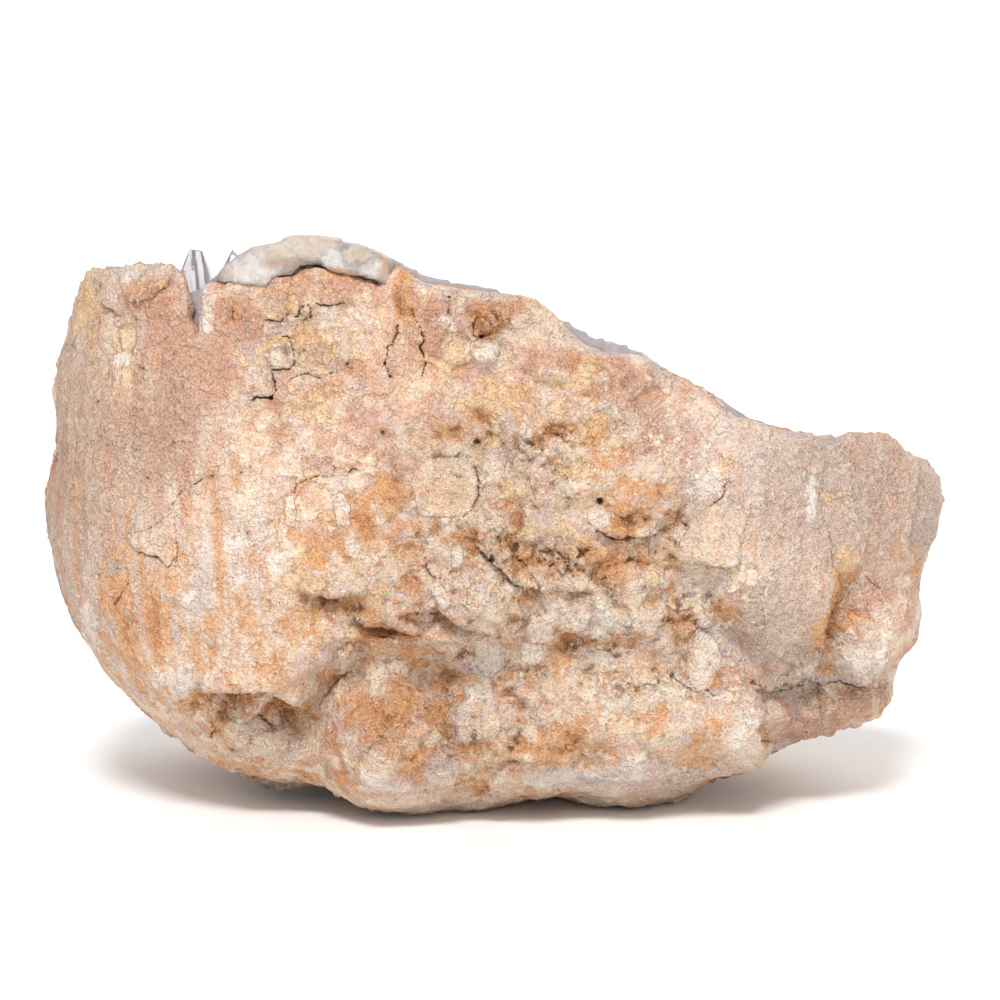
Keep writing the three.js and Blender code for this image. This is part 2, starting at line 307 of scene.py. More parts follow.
# raised and sunken parts of the front: across, down, half width, half height, turn, millimetres out
swellings = [
    (120, 292, 24, 24, 0, 1.8), (83, 315, 12, 32, 10, -1.0), (125, 337, 14, 14, 0, -0.8), (191, 375, 40, 50, 0, 0.8),
    (245, 300, 26, 22, 0, 0.6), (330, 292, 46, 16, 0, 1.0), (278, 356, 14, 14, 0, -0.6), (257, 384, 16, 14, 30, 1.2),
    (320, 345, 34, 22, 0, 1.0), (403, 295, 12, 40, 5, -1.6), (432, 320, 24, 36, 0, 1.4), (458, 347, 20, 22, 0, -1.4),
    (485, 349, 17, 16, 0, 1.8), (500, 315, 30, 24, 0, -0.8), (549, 366, 20, 20, 0, 2.0), (587, 366, 14, 12, 0, -1.0),
    (625, 377, 30, 26, 20, 2.2), (565, 405, 26, 16, 0, -1.0), (457, 433, 12, 14, 0, -2.0),
    (482, 424, 14, 18, 0, -2.4), (557, 433, 22, 13, 10, -1.5), (592, 436, 16, 18, 0, -1.6),
    (520, 425, 18, 18, 0, 1.4), (445, 487, 38, 34, 0, 2.2), (620, 490, 34, 18, -10, -1.4),
    (652, 500, 30, 22, 0, 2.4), (705, 476, 22, 30, 10, -1.0), (760, 470, 70, 60, 20, 2.4), (812, 500, 8, 34, 0, 1.6),
    (716, 545, 40, 22, 0, 2.0), (517, 523, 20, 16, 0, -1.2), (556, 556, 26, 14, 10, -1.2),
    (540, 495, 26, 20, 0, 1.8), (500, 590, 50, 24, 0, 1.6), (340, 605, 30, 12, 10, -2.6),
    (391, 638, 28, 11, 12, -3.6), (433, 618, 14, 12, 0, -2.4), (385, 650, 18, 12, 0, 2.0),
    (347, 660, 11, 16, 0, 1.6), (395, 667, 12, 9, 0, 1.4), (490, 660, 22, 24, 0, 1.4), (534, 652, 18, 18, 0, 1.2),
    (595, 619, 40, 18, 0, 1.6), (568, 652, 24, 24, 0, -1.4), (574, 645, 14, 16, 0, -1.0),
    (508, 686, 14, 24, 20, 1.2), (640, 690, 50, 24, -10, 1.0), (704, 660, 18, 36, 8, 1.2),
    (715, 630, 110, 66, -18, 2.0), (590, 622, 70, 24, -6, 3.6), (590, 560, 96, 24, 4, -2.6),
    (378, 716, 46, 66, -24, 3.2), (478, 690, 44, 44, 0, 1.4), (438, 632, 70, 18, 8, -2.0),
    (360, 596, 60, 26, 8, 3.2), (446, 602, 56, 20, 6, 3.0), (844, 606, 20, 38, 14, -5.0),
    (866, 652, 34, 26, -10, 5.5), (822, 712, 60, 18, -8, 5.0), (765, 753, 16, 12, 0, 1.6),
    (226, 707, 10, 6, 0, -2.6), (255, 721, 9, 6, 0, -2.4), (293, 722, 10, 7, 0, -2.6), (240, 745, 20, 8, 20, 1.6),
    (280, 748, 22, 10, 5, 2.0), (350, 700, 30, 40, 20, 1.0), (378, 777, 24, 15, 20, 1.2),
    (552, 778, 34, 12, -5, 1.8), (645, 773, 56, 11, -4, 1.6), (480, 786, 24, 16, 0, 1.0),
    (150, 600, 50, 60, 20, 0.8), (90, 450, 26, 70, 0, 0.8), (190, 680, 40, 26, 25, 0.8),
]

# ledges stand out above their line and drop away below it: points, drop, reach above, reach below
ledges = [
    ([(98, 302), (106, 309), (117, 311), (126, 310)], 1.6, 14, 10),
    ([(416, 458), (430, 440), (450, 427), (466, 424)], 1.2, 18, 10),
    ([(525, 366), (534, 377), (548, 384), (562, 381)], 1.4, 16, 12),
    ([(442, 362), (455, 367), (466, 364), (473, 358), (486, 362), (499, 358)], 1.4, 16, 10),
    ([(623, 478), (634, 470), (651, 467), (669, 468), (681, 477), (687, 488)], -1.6, 14, 14),
    ([(592, 528), (601, 532), (614, 537), (631, 536), (647, 535), (659, 531), (668, 520)], 3.4, 28, 14),
    ([(668, 550), (682, 563), (696, 561), (707, 562), (726, 565), (744, 562)], 3.2, 30, 16),
    ([(470, 540), (480, 550), (494, 562), (512, 580), (528, 586), (545, 588), (572, 590), (600, 592)], 2.6, 22, 14),
    ([(296, 592), (320, 599), (345, 599), (358, 590)], 3.6, 26, 14),
    ([(352, 618), (368, 629), (390, 633), (414, 636), (424, 628)], 6.0, 24, 15),
    ([(436, 604), (446, 616), (460, 628), (481, 632), (496, 636), (514, 630)], 4.6, 24, 16),
    ([(616, 567), (629, 561), (647, 565), (670, 570), (695, 572), (724, 573)], 1.4, 16, 14),
    ([(748, 676), (760, 688), (772, 692), (789, 690), (806, 686)], 1.6, 20, 14),
    ([(808, 684), (838, 681), (859, 688), (892, 690)], 1.0, 24, 12),
    ([(192, 680), (206, 688), (222, 690), (244, 690), (266, 693), (296, 702), (322, 714)], 6.5, 26, 22),
    ([(318, 712), (326, 698), (335, 685), (343, 672)], -2.4, 16, 12),
    ([(408, 680), (417, 696), (424, 707), (431, 722), (437, 741), (451, 762), (458, 784)], -4.6, 22, 18),
    ([(506, 684), (518, 694), (530, 707), (538, 724), (548, 738)], 2.6, 18, 14),
    ([(631, 726), (647, 749), (669, 764), (694, 770)], 1.4, 20, 14),
    ([(470, 768), (520, 762), (560, 764), (588, 760)], 1.4, 18, 10),
    ([(842, 572), (838, 599), (827, 616), (821, 639), (810, 655), (796, 671), (778, 690)], -5.5, 20, 26),
    ([(782, 711), (796, 718), (813, 721), (827, 730)], 1.2, 12, 8),
    ([(912, 452), (911, 500), (908, 540), (908, 596)], -3.6, 14, 12),
    ([(757, 704), (756, 728), (757, 744), (757, 762)], -3.4, 16, 14),
]

# pieces of crust that stand proud or have come away: outline and millimetres out
plates = [
    ([(445, 331), (462, 328), (471, 336), (471, 357), (466, 364), (455, 367), (443, 361), (441, 345)], -0.8),
    ([(471, 340), (484, 334), (497, 338), (501, 348), (496, 360), (484, 364), (473, 357)], 1.3),
    ([(270, 349), (278, 345), (287, 350), (288, 360), (282, 366), (272, 365)], -0.5),
    ([(255, 378), (271, 371), (274, 386), (270, 396), (254, 397)], 0.7),
    ([(128, 535), (150, 530), (174, 511), (177, 539), (178, 558), (169, 567), (161, 558), (142, 553), (134, 551)], 1.0),
    ([(411, 487), (416, 467), (430, 457), (452, 455), (472, 462), (480, 482), (478, 496), (471, 508), (460, 515),
      (440, 516), (419, 514)], 0.8),
    ([(332, 495), (342, 491), (350, 505), (349, 527), (336, 525)], 0.9),
    ([(344, 541), (357, 537), (362, 548), (356, 560), (345, 557)], 0.8),
    ([(284, 498), (293, 495), (298, 512), (294, 528), (284, 525)], 0.6),
    ([(433, 582), (448, 582), (452, 593), (451, 602), (444, 607), (438, 602), (431, 592)], 1.4),
    ([(452, 544), (461, 541), (463, 556), (460, 569), (452, 567)], 1.1),
    ([(502, 602), (512, 599), (517, 606), (513, 613), (503, 612)], 1.2),
    ([(523, 623), (537, 618), (552, 620), (554, 633), (545, 640), (527, 638)], 1.4),
    ([(333, 633), (343, 631), (345, 640), (335, 642)], 1.1),
    ([(338, 650), (350, 645), (357, 652), (352, 665), (344, 674), (339, 664)], 1.3),
    ([(370, 645), (385, 641), (400, 646), (399, 657), (384, 660), (371, 657)], 1.3),
    ([(386, 663), (398, 659), (406, 664), (399, 673), (388, 673)], 1.1),
    ([(101, 495), (107, 491), (110, 503), (106, 516), (101, 512)], 0.7),
    ([(672, 556), (682, 538), (690, 520), (706, 507), (730, 500), (750, 512), (742, 530), (738, 545), (739, 562),
      (726, 565), (707, 562), (696, 561), (682, 563)], 1.1),
    ([(725, 566), (735, 564), (739, 569), (733, 573), (725, 571)], 1.0),
    ([(649, 545), (660, 536), (676, 540), (678, 555), (664, 565), (651, 560)], -0.9),
    ([(688, 640), (699, 628), (712, 634), (721, 655), (714, 683), (701, 695), (690, 680), (686, 660)], 0.7),
    ([(586, 508), (597, 503), (610, 508), (612, 521), (601, 530), (589, 526)], 0.5),
    ([(579, 360), (590, 357), (597, 364), (590, 376), (581, 372)], -0.7),
    ([(476, 642), (489, 639), (503, 645), (505, 662), (495, 678), (481, 675), (474, 660)], 0.6),
    ([(520, 641), (534, 637), (547, 643), (546, 658), (533, 667), (521, 660)], 0.6),
    ([(201, 314), (207, 311), (214, 314), (215, 327), (209, 335), (203, 332)], -1.0),
    ([(117, 326), (129, 323), (136, 332), (133, 347), (121, 350)], -0.6),
    ([(120, 368), (130, 365), (132, 380), (126, 391), (120, 384)], -0.5),
]

# cracks: points, half width at the middle, depth
cracks = [
    ([(265, 315), (274, 316), (280, 318), (284, 312), (288, 308)], 1.3, 1.6),
    ([(294, 314), (298, 314), (300, 308), (304, 303)], 1.4, 1.8),
    ([(308, 304), (316, 303), (331, 304), (345, 303)], 1.2, 1.6),
    ([(311, 305), (311, 319), (304, 319)], 0.7, 0.8),
    ([(280, 312), (284, 307)], 0.9, 1.0),
    ([(233, 302), (233, 318)], 0.7, 0.8),
    ([(282, 335), (286, 335), (291, 341), (295, 350), (297, 359), (295, 365), (291, 369), (282, 368), (275, 369),
      (271, 367)], 1.2, 1.8),
    ([(272, 368), (274, 378), (276, 390), (271, 397), (263, 397), (257, 397), (253, 400)], 1.6, 2.4),
    ([(288, 379), (298, 376), (304, 374), (314, 376), (322, 379)], 1.1, 1.5),
    ([(325, 374), (332, 374)], 0.9, 1.0),
    ([(358, 380), (360, 387), (362, 393)], 0.8, 1.0),
    ([(348, 388), (356, 391), (367, 388)], 0.6, 0.7),
    ([(397, 322), (396, 330), (395, 335), (392, 344), (387, 345), (387, 354), (384, 362)], 1.1, 1.7),
    ([(384, 362), (388, 368), (391, 375)], 0.7, 0.8),
    ([(412, 305), (417, 322), (420, 331), (424, 340), (420, 347), (425, 354), (427, 362), (424, 368),
      (421, 376)], 1.3, 1.6),
    ([(145, 477), (150, 479)], 0.8, 0.8),
    ([(202, 480), (194, 486)], 0.9, 0.9),
    ([(181, 490), (178, 496), (171, 507)], 0.8, 0.9),
    ([(174, 511), (161, 522), (147, 530)], 0.6, 0.6),
    ([(138, 555), (143, 553), (161, 558), (169, 567)], 0.9, 1.1),
    ([(178, 539), (178, 558), (169, 567)], 0.7, 0.8),
    ([(293, 494), (296, 485), (303, 480), (314, 477), (322, 476), (332, 476)], 1.0, 1.5),
    ([(332, 476), (334, 464)], 0.7, 0.8),
    ([(348, 473), (354, 469), (360, 470)], 0.9, 1.0),
    ([(132, 578), (124, 592), (116, 606)], 0.8, 1.0),
    ([(451, 568), (449, 578)], 0.8, 1.0),
    ([(425, 557), (427, 569), (433, 578), (447, 580)], 0.9, 1.2),
    ([(476, 546), (484, 554), (492, 561), (503, 572), (512, 580), (515, 584), (528, 586), (545, 588)], 1.0, 1.6),
    ([(594, 531), (601, 532), (606, 537), (614, 540), (631, 538), (647, 537), (657, 533)], 1.5, 2.2),
    ([(682, 520), (688, 530)], 0.8, 1.0),
    ([(677, 539), (675, 548)], 0.8, 1.0),
    ([(663, 672), (675, 679), (695, 690)], 0.8, 1.0),
    ([(751, 679), (760, 688), (772, 692), (789, 690), (806, 687)], 1.3, 2.2),
    ([(808, 684), (838, 681), (859, 688), (887, 689)], 1.3, 2.2),
    ([(417, 696), (424, 707), (431, 722), (437, 741), (451, 762)], 2.0, 3.0),
    ([(832, 532), (831, 550), (832, 567)], 0.6, 0.7),
    ([(867, 577), (873, 583), (881, 589)], 0.7, 0.9),
    ([(210, 741), (212, 735), (214, 728)], 1.3, 1.4),
    ([(448, 292), (448, 302), (447, 314)], 0.9, 1.2),
    ([(476, 311), (474, 320), (473, 331)], 1.1, 1.6),
    ([(473, 331), (482, 334), (490, 331)], 0.9, 1.2),
    ([(201, 311), (198, 318), (197, 332)], 1.3, 1.6),
    ([(135, 329), (135, 345), (132, 357)], 0.8, 1.0),
    ([(98, 319), (98, 330), (98, 342)], 0.7, 0.8),
    ([(98, 302), (106, 309), (117, 310)], 1.1, 1.6),
    ([(136, 364), (145, 370)], 0.7, 0.9),
    ([(141, 302), (149, 297), (159, 285), (166, 274)], 0.7, 0.8),
    ([(159, 343), (164, 337)], 0.6, 0.7),
    ([(727, 481), (719, 499), (709, 507)], 0.8, 1.1),
    ([(371, 638), (390, 642), (414, 646)], 1.4, 2.2),
    ([(341, 675), (335, 684), (318, 707)], 1.3, 1.8),
    ([(240, 725), (259, 722), (280, 728)], 1.0, 1.2),
    ([(755, 744), (778, 742)], 0.9, 1.2),
    ([(540, 552), (548, 556), (556, 550), (562, 558), (571, 560)], 0.7, 1.0),
    ([(471, 508), (464, 515), (448, 517), (430, 516)], 0.8, 1.0),
    ([(475, 464), (480, 482), (478, 496), (471, 508)], 0.9, 1.2),
    ([(504, 322), (496, 312), (487, 303)], 0.6, 0.7),
    ([(696, 692), (706, 690), (715, 696)], 0.7, 0.8),
]

# holes: across, down, radius, depth
holes = [
    (599, 501, 4.4, 3.0), (476, 441, 3.6, 2.6), (557, 436, 2.0, 0.8), (346, 364, 2.0, 1.4), (493, 559, 3.6, 2.2),
    (384, 362, 2.0, 1.4), (391, 375, 1.4, 1.0), (383, 434, 2.6, 1.2), (250, 467, 1.3, 0.8), (239, 473, 1.1, 0.8),
    (247, 534, 1.3, 0.8), (137, 449, 1.2, 0.8), (109, 445, 1.2, 0.8), (173, 443, 1.2, 0.8), (212, 475, 1.3, 0.8),
    (71, 346, 1.4, 0.8), (175, 354, 1.2, 0.7), (99, 402, 1.4, 0.8), (99, 287, 1.3, 0.7), (448, 291, 2.0, 1.4),
    (483, 334, 2.4, 1.6), (665, 548, 1.6, 1.0), (656, 553, 1.4, 1.0), (670, 557, 1.5, 1.0), (271, 397, 2.6, 1.8),
]

# marks on the front: across, down, half width, half height, turn, strength
marks = {
    "salmon": [
        (825, 715, 60, 26, -10, 0.8), (190, 370, 46, 70, 0, 1.4), (150, 300, 26, 22, 0, 0.8),
        (230, 310, 26, 34, 0, 0.6), (160, 440, 50, 60, 0, 0.5), (320, 292, 60, 22, 0, 0.35),
        (435, 325, 34, 48, 0, 0.9), (405, 350, 20, 50, 0, 0.7), (490, 300, 40, 26, 10, 0.6),
        (625, 380, 44, 34, 20, 0.25), (370, 420, 44, 60, 0, 0.2), (470, 385, 34, 18, 0, 0.2),
        (660, 430, 50, 50, 20, 0.2), (880, 520, 30, 60, 0, 0.3), (740, 645, 26, 40, 0, 0.5),
        (860, 600, 44, 40, 0, 0.5), (380, 720, 50, 50, 30, 0.6), (90, 500, 34, 70, 0, 0.4),
    ],
    "ochre": [
        (83, 315, 13, 38, 8, 0.9), (126, 337, 12, 16, 0, 1.3), (126, 378, 9, 15, 0, 1.2), (148, 275, 18, 9, 0, 0.5),
        (300, 345, 34, 30, 0, 0.3), (460, 350, 22, 24, 0, 0.6), (498, 410, 50, 30, 0, 0.4),
        (500, 425, 30, 22, 0, 0.4), (588, 367, 12, 13, 0, 1.0), (587, 395, 10, 10, 0, 0.9),
        (592, 436, 18, 20, 0, 1.0), (660, 552, 20, 18, 0, 0.8), (560, 470, 30, 24, 0, 0.2),
        (724, 466, 13, 16, 0, 0.9), (833, 494, 9, 6, 0, 0.8), (848, 568, 14, 18, 0, 0.8), (560, 520, 50, 30, 0, 0.3),
        (310, 390, 20, 14, 0, 0.5), (575, 470, 30, 26, 0, 0.5), (352, 600, 26, 20, 0, 0.4),
        (315, 585, 30, 40, 0, 0.35),
    ],
    "stain": [
        (403, 290, 8, 36, 6, 0.9), (400, 280, 6, 26, 4, 1.5), (412, 312, 5, 12, 0, 1.2), (457, 433, 13, 16, 0, 0.9),
        (482, 422, 14, 20, 0, 1.0), (557, 432, 24, 14, 10, 0.8), (485, 322, 16, 18, 0, 0.8),
        (600, 460, 20, 16, 20, 0.3), (668, 514, 17, 12, 0, 1.1), (620, 515, 30, 20, 0, 0.9),
        (520, 522, 12, 14, 0, 1.1), (555, 554, 26, 14, 10, 0.8), (397, 498, 22, 14, 0, 0.7),
        (470, 540, 50, 18, 20, 0.3), (530, 560, 50, 26, 10, 0.6), (600, 555, 50, 22, 0, 0.7),
        (390, 540, 40, 30, 0, 0.3), (400, 610, 50, 26, 10, 0.4), (437, 616, 22, 18, 0, 0.7),
        (390, 634, 34, 14, 10, 1.0), (330, 606, 34, 16, 0, 0.4), (568, 650, 26, 30, 0, 1.0),
        (508, 686, 18, 26, 10, 0.7), (640, 690, 56, 26, -8, 0.5), (688, 614, 12, 16, 0, 1.0),
        (722, 608, 16, 14, 0, 1.0), (838, 620, 26, 42, 15, 1.5), (914, 570, 16, 24, 0, 0.9),
        (140, 625, 44, 60, 20, 0.8), (120, 600, 26, 44, 15, 0.8), (250, 640, 60, 40, 10, 0.2),
        (230, 706, 30, 12, 10, 0.9), (285, 715, 34, 16, 15, 0.8), (390, 710, 40, 46, 30, 0.45),
        (440, 660, 24, 40, 10, 0.3), (478, 786, 18, 12, 0, 0.9), (540, 740, 60, 24, -5, 0.4),
        (700, 740, 26, 30, 0, 0.6), (325, 275, 20, 3, 6, 0.9), (645, 480, 22, 14, 0, 0.6),
        (280, 775, 60, 18, 8, 0.6), (630, 480, 26, 16, 0, 0.6), (650, 625, 30, 18, 0, 0.4),
        (585, 655, 18, 26, 0, 0.8), (180, 700, 50, 18, 30, 0.5),
    ],
    "chalk": [
        (122, 357, 12, 10, 0, 0.9), (125, 277, 5, 5, 0, 1.4), (278, 356, 10, 12, 0, 1.0), (485, 349, 16, 15, 0, 0.8),
        (587, 395, 5, 6, 0, 1.4), (191, 597, 6, 10, 0, 1.2), (178, 680, 24, 22, 30, 0.7), (597, 517, 16, 12, 0, 1.5),
        (238, 541, 16, 11, 0, 0.7), (280, 566, 14, 14, 0, 0.6), (378, 778, 24, 14, 20, 0.9),
        (490, 660, 18, 22, 0, 0.8), (482, 693, 16, 9, 0, 0.8), (534, 652, 16, 16, 0, 0.7),
        (552, 778, 36, 12, -5, 1.0), (645, 773, 58, 10, -4, 0.3), (595, 619, 42, 16, 0, 0.8),
        (704, 662, 18, 36, 8, 0.9), (590, 655, 16, 20, 0, 0.5), (640, 700, 60, 14, -8, 0.45),
        (859, 655, 28, 18, -10, 0.7), (440, 593, 12, 14, 0, 0.9), (457, 556, 6, 15, 0, 0.9),
        (88, 625, 10, 36, -8, 0.7), (710, 480, 20, 28, 10, 0.6), (812, 500, 7, 30, 0, 0.9),
        (208, 324, 8, 13, 0, 0.7), (450, 320, 10, 20, 0, 0.3), (291, 512, 8, 16, 0, 0.35),
        (341, 510, 9, 17, 0, 0.35), (353, 548, 10, 12, 0, 0.55), (538, 629, 16, 12, 0, 0.8),
        (740, 735, 16, 30, 0, 0.8),
    ],
    "grey": [
        (726, 417, 10, 10, 0, 1.2), (660, 368, 11, 7, 20, 1.1), (582, 335, 20, 12, 20, 1.2),
        (620, 348, 34, 6, 12, 1.2), (475, 287, 36, 4, 14, 1.1), (420, 274, 12, 7, 30, 1.2),
        (126, 268, 46, 9, 0, 1.3), (200, 300, 12, 40, -8, 0.8), (800, 480, 110, 70, 25, 0.5),
        (760, 620, 70, 60, 10, 0.45), (700, 470, 24, 36, 0, 0.5), (193, 285, 7, 24, -20, 1.0),
        (920, 510, 24, 60, 0, 0.7), (245, 541, 30, 20, 0, 0.4), (110, 560, 40, 50, 0, 0.3),
        (640, 776, 70, 16, -4, 1.2), (190, 610, 60, 40, 0, 0.3),
    ],
    "flakes": [
        (592, 655, 24, 24, 0, 0.9), (645, 692, 62, 24, -10, 1.0), (700, 600, 30, 34, 0, 0.6),
        (640, 595, 50, 26, 0, 0.5), (745, 575, 34, 24, 0, 0.7), (560, 610, 50, 26, 0, 0.4),
        (790, 680, 30, 14, 0, 0.5), (660, 440, 30, 30, 0, 0.3), (470, 590, 34, 20, 0, 0.5),
        (550, 470, 40, 34, 0, 0.3), (730, 700, 24, 30, 0, 0.5),
    ],
    "grain": [
        (625, 378, 40, 34, 20, 1.0), (250, 300, 34, 26, 0, 0.9), (490, 310, 34, 34, 0, 0.9),
        (838, 620, 26, 44, 15, 1.0), (808, 680, 20, 14, 0, 1.0), (740, 645, 26, 40, 0, 0.7),
        (540, 550, 60, 30, 0, 0.6), (390, 720, 50, 50, 0, 0.6), (200, 720, 60, 24, 30, 0.6),
        (650, 440, 40, 40, 0, 0.6), (440, 320, 30, 40, 0, 0.6),
    ],
    "rugged": [
        (490, 480, 120, 100, 0, 1.3), (520, 580, 190, 70, 8, 1.6), (470, 700, 170, 110, 10, 1.4),
        (640, 650, 120, 90, 0, 1.3), (490, 320, 90, 46, 0, 0.7), (660, 520, 90, 50, 0, 0.8),
        (820, 690, 90, 60, -10, 1.1), (270, 730, 90, 50, 20, 1.2), (290, 340, 70, 80, 0, 0.5),
        (620, 400, 60, 60, 0, 0.4), (130, 300, 60, 40, 0, 0.4), (380, 600, 90, 60, 0, 1.0),
    ],
    "craggy": [
        (560, 562, 120, 34, 5, 0.8), (395, 636, 50, 16, 8, 1.2), (332, 606, 46, 16, 5, 1.0),
        (560, 436, 60, 22, 0, 0.7), (842, 618, 26, 44, 15, 0.9), (640, 690, 80, 34, -8, 0.35),
        (500, 660, 60, 40, 10, 0.7), (500, 540, 60, 24, 10, 0.5), (664, 548, 34, 24, 0, 0.55),
        (240, 712, 50, 16, 10, 1.0), (300, 722, 30, 14, 10, 1.0), (500, 320, 60, 30, 0, 0.4),
        (700, 600, 40, 26, 0, 0.4), (800, 690, 34, 16, -8, 0.9), (430, 616, 40, 22, 5, 1.0),
        (120, 300, 30, 20, 0, 0.4), (620, 520, 50, 16, 0, 0.5),
    ],
    "bulging": [
        (470, 680, 190, 120, 8, 1.5), (640, 640, 140, 100, 0, 1.2), (260, 730, 110, 50, 18, 1.3),
        (500, 560, 160, 60, 5, 1.1), (820, 680, 90, 70, -8, 1.0), (400, 600, 120, 60, 0, 1.0),
        (600, 450, 110, 50, 0, 0.5), (150, 660, 70, 60, 30, 0.6),
    ],
    "streaks": [
        (130, 480, 110, 200, 0, 1.4), (150, 640, 110, 110, 20, 1.4), (820, 510, 140, 110, 0, 1.3),
        (220, 560, 80, 110, 0, 0.8), (410, 330, 40, 60, 0, 0.6),
    ],
    # painted shade: darker patches on the left side, the right wall, the lobes turned away from the light and the
    # bottom; on the sides and the back the same darker skin lies at random
    "dull": [
        (50, 440, 100, 190, 0, 1.2), (840, 480, 110, 120, 20, 1.1), (770, 610, 66, 54, 0, 1.3),
        (930, 510, 50, 80, 0, 1.0), (840, 610, 30, 40, 0, 1.0), (120, 570, 80, 90, 0, 0.6),
        (700, 780, 120, 40, -6, 0.5), (160, 420, 70, 110, 0, 0.7),
    ],
}


def nearCracks(view):
    distance = np.full(len(view), farAway)
    for line, _, _ in cracks:
        distance = np.minimum(distance, lineDistance(view, line)[0])
    return distance


def nearFeatures(view):
    # how near each place is to a crack, hole or plate edge, in steps of the front view
    distance = nearCracks(view)
    for outline, _ in plates:
        distance = np.minimum(distance, np.abs(lineDistance(view, outline + outline[:1])[0]))
    for x, y, radius, _ in holes:
        distance = np.minimum(distance, np.abs(np.hypot(view[:, 0] - x, view[:, 1] - y) - radius))
    return distance


# how the same marks lie on the sides and the back: size in millimetres, and how common
scattered = {
    "salmon": (34, 0.1), "ochre": (22, -0.25), "stain": (28, -0.1), "chalk": (16, -0.3), "grey": (30, -0.6),
    "flakes": (20, -0.3), "grain": (26, -0.1), "rugged": (40, 0.2), "craggy": (36, -0.6), "bulging": (60, 0.0),
    "streaks": (60, -0.1), "dull": (46, 0.0),
}


def frontFaces(piece, least):
    normals = meshArray(piece.data.polygons, "normal")
    return normals @ towardsCamera() > least


def faceViews(piece):
    return frontView(meshArray(piece.data.polygons, "center"))


def surfaceOf(name):
    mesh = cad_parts[name].data
    return BVHTree.FromPolygons([v.co for v in mesh.vertices], [p.vertices for p in mesh.polygons])


def distanceTo(tree, points, reach):
    found = [tree.find_nearest(Vector(p), reach) for p in points]
    return np.array([f[3] if f[0] is not None else reach for f in found])


def outerFaces(piece):
    centres = meshArray(piece.data.polygons, "center")
    return distanceTo(liningSurface, centres, 0.02) > 3 * millimetre


def selectFaces(piece, picked):
    mesh = piece.data
    bpy.context.tool_settings.mesh_select_mode = (False, False, True)
    mesh.vertices.foreach_set("select", np.zeros(len(mesh.vertices), bool))
    mesh.edges.foreach_set("select", np.zeros(len(mesh.edges), bool))
    mesh.polygons.foreach_set("select", picked)
    bpy.context.view_layer.objects.active = piece


def thinHidden(piece, picked, share):
    selectFaces(piece, picked)
    bpy.ops.object.mode_set(mode="EDIT")
    bpy.ops.mesh.decimate(ratio=share)
    bpy.ops.object.mode_set(mode="OBJECT")


def triangleCount(piece):
    return sum(len(face.vertices) - 2 for face in piece.data.polygons)


def smoothAll(piece):
    selectOnly(piece)
    bpy.ops.object.shade_smooth()


# numbers that scatter each block's slope and level
blockScatter = np.array((
    (12.99, 39.35, 73.16, 31.42),
    (78.23, 11.14, 52.24, 61.71),
    (37.72, 83.16, 9.15, 23.9),
))


def cellular(points, size, seed):
    # broken blocks: a level and a slope for each cell, and the distance to its edge
    warp = 0.22 * np.column_stack([noiseOf(points, size * 0.6, seed + k, 2) for k in (1, 2, 3)])
    scaled = points / (size * millimetre) + warp + seed * 3.7
    found = [noise.voronoi(Vector(p)) for p in scaled]
    distances = np.array([f[0][:2] for f in found])
    cells = np.array([f[1][0][:] for f in found])
    turns = np.sin(cells @ blockScatter) * 437.58
    turns -= np.floor(turns)
    slope = ((scaled - cells) * (turns[:, :3] * 2 - 1)).sum(1)
    return turns[:, 3] - 0.5 + 1.3 * slope, distances[:, 1] - distances[:, 0]


notchShift = {
    "down": (250, 266, 300, 332, 342),
    "across": (6, 6, 13, 12, 0),
    "from": (146, 174),
    "to": (186, 200),
    "before": -0.02,
}


def leanNotch(piece):
    # slants the left wall of the notch, which narrows downwards
    points = meshArray(piece.data.vertices, "co")
    view = frontView(points)
    amount = np.interp(view[:, 1], notchShift["down"], notchShift["across"])
    amount *= smoothStep(*notchShift["from"], view[:, 0]) * (1 - smoothStep(*notchShift["to"], view[:, 0]))
    amount *= points[:, 1] < notchShift["before"]
    points[:, 0] += amount * stepSize * millimetre
    setPoints(piece, points)


def fitRim(piece, profile, within, ragged=0.0):
    # moves the rim up or down so that its outline follows the profile, fading out below it
    points = meshArray(piece.data.vertices, "co")
    view = frontView(points)
    least, most = profile[0][0], profile[-1][0]
    wide = (view[:, 0] > least - 6) & (view[:, 0] < most + 6) & (points[:, 1] < within)
    columns = np.arange(least, most + 1, rimFit["column"])
    tops = np.array([view[wide & (np.abs(view[:, 0] - x) < rimFit["column"]), 1].min() for x in columns])
    profileX, profileY = np.array(profile, float).T
    limit, over = rimFit["mostShift"], rimFit["smoothOver"]
    shift = np.clip(np.interp(columns, profileX, profileY) - tops, -limit, limit)
    shift = np.convolve(np.pad(shift, over // 2, mode="edge"), np.ones(over) / over, "valid")
    amount = np.interp(view[:, 0], columns, shift)
    amount *= smoothStep(least - 8, least + 2, view[:, 0]) * (1 - smoothStep(most - 2, most + 8, view[:, 0]))
    below = np.maximum(view[:, 1] - np.interp(view[:, 0], columns, tops), 0)
    amount *= np.exp(-below / rimFit["fadeBelow"])
    if ragged:
        amount += ragged * noiseOf(points, rimFit["raggedSize"], 61, 3) * np.exp(-below / rimFit["raggedFade"])
    amount *= 1 - smoothStep(within, within + 0.02, points[:, 1])
    points[:, 2] -= amount * stepSize * millimetre
    setPoints(piece, points)


